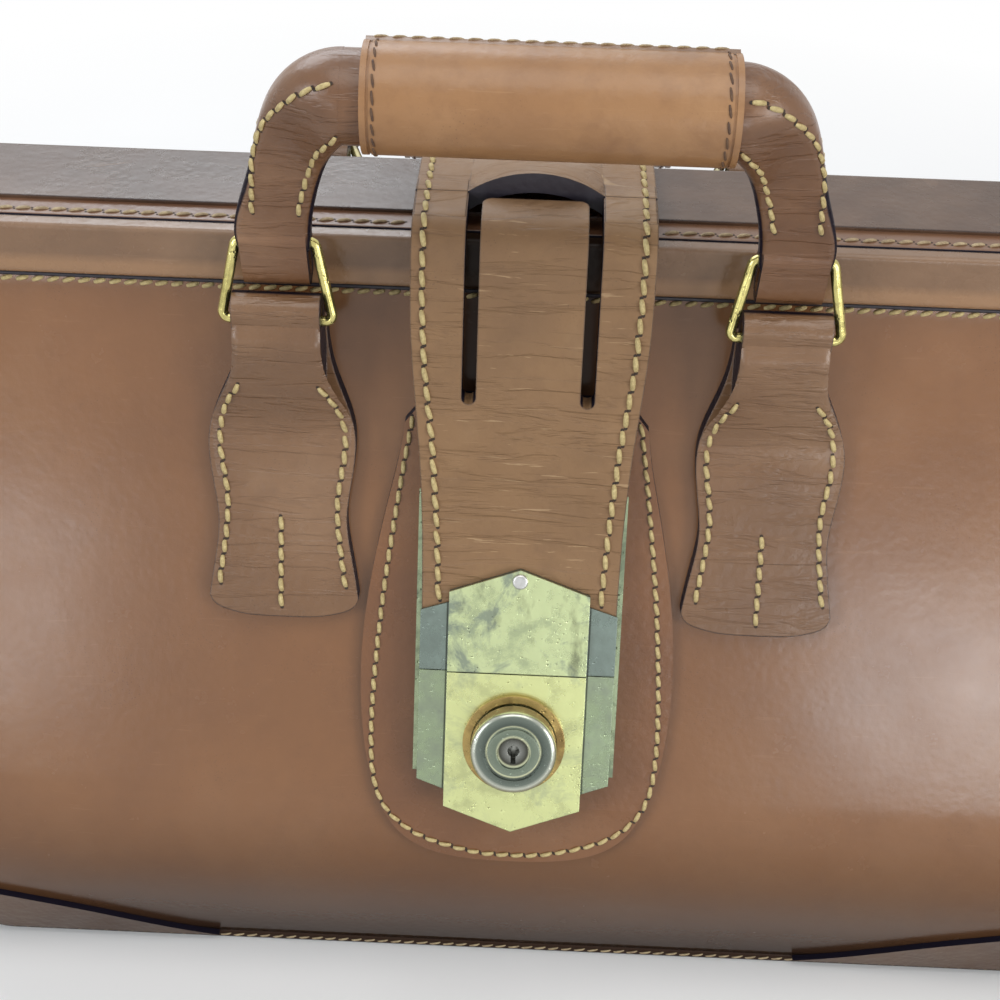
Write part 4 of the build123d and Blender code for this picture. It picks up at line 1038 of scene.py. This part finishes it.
def handle_frame(origin_y, origin_z, lean):
    """A handle's own axes: z goes up its legs, y out of its face."""
    turn = Matrix.Rotation(math.radians(lean), 4, "X")
    return Matrix.Translation(Vector((0, origin_y, origin_z))) @ turn


def leg_rows(tree, place, sign_x, face):
    """Two rows down one leg, on one face."""
    rows = []
    way = place.to_3x3() @ Vector((0, -face, 0))
    for knots in (INNER_ROW, OUTER_ROW + OUTER_ENDS[face]):
        rows.append([drop(tree, place @ Vector((sign_x * x, face * LEG_RAY, z)), way)
                     for x, z in curve_through(knots, 30)])
    return rows


def round_row(place, x):
    """Samples round the grip at one x."""
    row = []
    for angle in [2 * math.pi * step / 48 for step in range(49)]:
        out = Vector((0, math.cos(angle), math.sin(angle)))
        row.append((place @ (Vector((x, 0, GRIP_Z)) + out * GRIP_R), place.to_3x3() @ out))
    return row


for end, axes in HANDLE_AXES.items():
    body = f"{end}_handle_body"
    place = handle_frame(*axes)
    shift = GRIP_SHIFT[end]
    tree = surface(f"{end}_handle")
    rows = [row for sign_x in (-1, 1) for face in (-1, 1)
            for row in leg_rows(tree, place, sign_x, face)]
    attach(stitches(f"{end}_handle_stitches", rows, 4.9, THREAD, 1.45, holes=True), body)
    hems = [round_row(place, shift + sign * (GRIP_HALF - HEM_INSET)) for sign in (-1, 1)]
    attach(stitches(f"{end}_hem_stitches", hems, 4.2, DARK_THREAD, 0.7), body)
    points = []
    for step in range(SPINE_STEPS + 1):
        x = shift - GRIP_HALF + SPINE_INSET + 2 * (GRIP_HALF - SPINE_INSET) * step / SPINE_STEPS
        for turn in range(SPINE_TURNS + 1):
            angle = math.radians(SPINE_START + SPINE_TURN * turn)
            radius = GRIP_R + (SPINE_RISE if 0 < turn < SPINE_TURNS else SPINE_TUCK)
            points.append(place @ Vector((x, radius * math.cos(angle),
                                          GRIP_Z + radius * math.sin(angle))))
    faces = quads(SPINE_STEPS, SPINE_TURNS + 1, False)
    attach(mesh_object(f"{end}_grip_spine", points, faces, SPINE), body)
    spine_rows = []
    for angle in [math.radians(degrees) for degrees in SPINE_ROWS]:
        out = Vector((0, math.cos(angle), math.sin(angle)))
        normal = place.to_3x3() @ out
        rise = out * (GRIP_R + SPINE_RISE)
        spine_rows.append([
            (place @ (Vector((shift + along, 0, GRIP_Z)) + rise), normal)
            for along in range(-SPINE_ROW_HALF, SPINE_ROW_HALF + 1, 2)])
    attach(stitches(f"{end}_spine_stitches", spine_rows, 4.8, OLD_THREAD, 0.8, sink=0.4), body)


# Camera and light; places and sizes in metres

CAMERA_PLACE = (-0.00039, -0.44742, 0.47144)
CAMERA_PITCH = math.radians(36.48)
CAMERA_YAW = math.radians(-0.97)
CAMERA_ROLL = math.radians(1.79)
CAMERA_LENS = 59.32
SENSOR_WIDTH = 36.0


def photo_camera():
    """The camera as it stood for the photo."""
    data = bpy.data.cameras.new("photo_camera")
    data.sensor_width = SENSOR_WIDTH
    data.lens = CAMERA_LENS
    data.clip_start = 0.01
    camera = linked("photo_camera", data)
    forward = Vector((math.sin(CAMERA_YAW) * math.cos(CAMERA_PITCH),
                      math.cos(CAMERA_YAW) * math.cos(CAMERA_PITCH), -math.sin(CAMERA_PITCH)))
    right = Vector((math.cos(CAMERA_YAW), -math.sin(CAMERA_YAW), 0.0))
    up = right.cross(forward)
    turned_right = math.cos(CAMERA_ROLL) * right + math.sin(CAMERA_ROLL) * up
    turned_up = -math.sin(CAMERA_ROLL) * right + math.cos(CAMERA_ROLL) * up
    matrix = Matrix((turned_right, turned_up, -forward)).transposed().to_4x4()
    matrix.translation = Vector(CAMERA_PLACE)
    camera.matrix_world = matrix
    bpy.context.scene.camera = camera


def area_light(name, place, target, size, power, colour):
    """A rectangle of light at a place, turned to a target."""
    data = bpy.data.lights.new(name, "AREA")
    data.shape = "RECTANGLE"
    data.size, data.size_y = size
    data.energy = power
    data.color = colour
    light = linked(name, data)
    light.location = place
    light.rotation_euler = (Vector(target) - Vector(place)).to_track_quat("-Z", "Y").to_euler()


PAPER = ((0.88, 0.88, 0.88), (0.92, 0.92, 0.92))
PAPER_LIT = (0.30, 0.28, 0.26)  # what the paper throws back at the case
PAPER_FADE = (0.35, 0.85)  # metres from the case over which the paper goes over to white
ROOM = (0.88, 0.94, 1.0)
ROOM_STRENGTH = 0.24


def white_floor():
    """Pale paper; it throws less light back at the case than the camera sees."""
    bpy.ops.mesh.primitive_plane_add(size=12.0, location=(0, 0, 0))
    floor = bpy.context.object
    floor.name = "floor"
    s = Shade("floor_paper")
    tone = s.mix(s.spread(s.noise(6, 3), 0.3, 0.7), *PAPER)
    seen = backdrop_rays(s.tree)
    floor.data.materials.append(s.finish(s.mix(seen, PAPER_LIT, tone), 0.7, specular=0.2))
    distance = s.vector("LENGTH", s.space)["Value"]
    far = s.times(seen, s.spread(distance, *PAPER_FADE))
    white = s.add("ShaderNodeEmission", {"Strength": 1.0})
    choose = s.add("ShaderNodeMixShader", (far, s.shader.outputs[0], white.outputs[0]))
    put(s.output.inputs[0], choose.outputs[0])


def world_light():
    """A soft grey room; the camera and mirrors see it as a white backdrop."""
    world = bpy.data.worlds.new("studio")
    bpy.context.scene.world = world
    world.use_nodes = True
    tree = world.node_tree
    tree.nodes.clear()
    room = add_node(tree, "ShaderNodeBackground", {"Color": ROOM, "Strength": ROOM_STRENGTH})
    backdrop = add_node(tree, "ShaderNodeBackground", {"Color": (1.0, 1.0, 1.0)})
    choose = add_node(tree, "ShaderNodeMixShader",
                      (backdrop_rays(tree), room.outputs[0], backdrop.outputs[0]))
    add_node(tree, "ShaderNodeOutputWorld", (choose.outputs[0],))


SKY = (0.90, 0.95, 1.0)
SUN = (1.0, 0.98, 0.95)
SHEEN = (0.92, 0.96, 1.0)

photo_camera()
white_floor()
world_light()
area_light("window_left", (-1.25, -1.05, 0.75), (-0.1, 0, 0.12), (0.6, 0.9), 11, SKY)
area_light("window_right", (1.25, -1.00, 0.50), (0.1, 0, 0.12), (0.7, 0.8), 11, SUN)
area_light("window_back", (-0.7, 1.3, 1.5), (0, 0, 0.2), (1.5, 0.9), 20, SKY)
area_light("overhead", (0.1, -0.5, 1.9), (0, 0, 0.12), (1.6, 1.2), 15, SUN)
area_light("low_right", (0.47, -1.20, 0.15), (0.13, 0, 0.11), (0.32, 0.20), 1.5, SHEEN)
area_light("low_left", (-0.56, -1.20, 0.20), (-0.15, 0, 0.13), (0.24, 0.22), 0.75, SHEEN)
bpy.context.scene.view_settings.view_transform = "Standard"
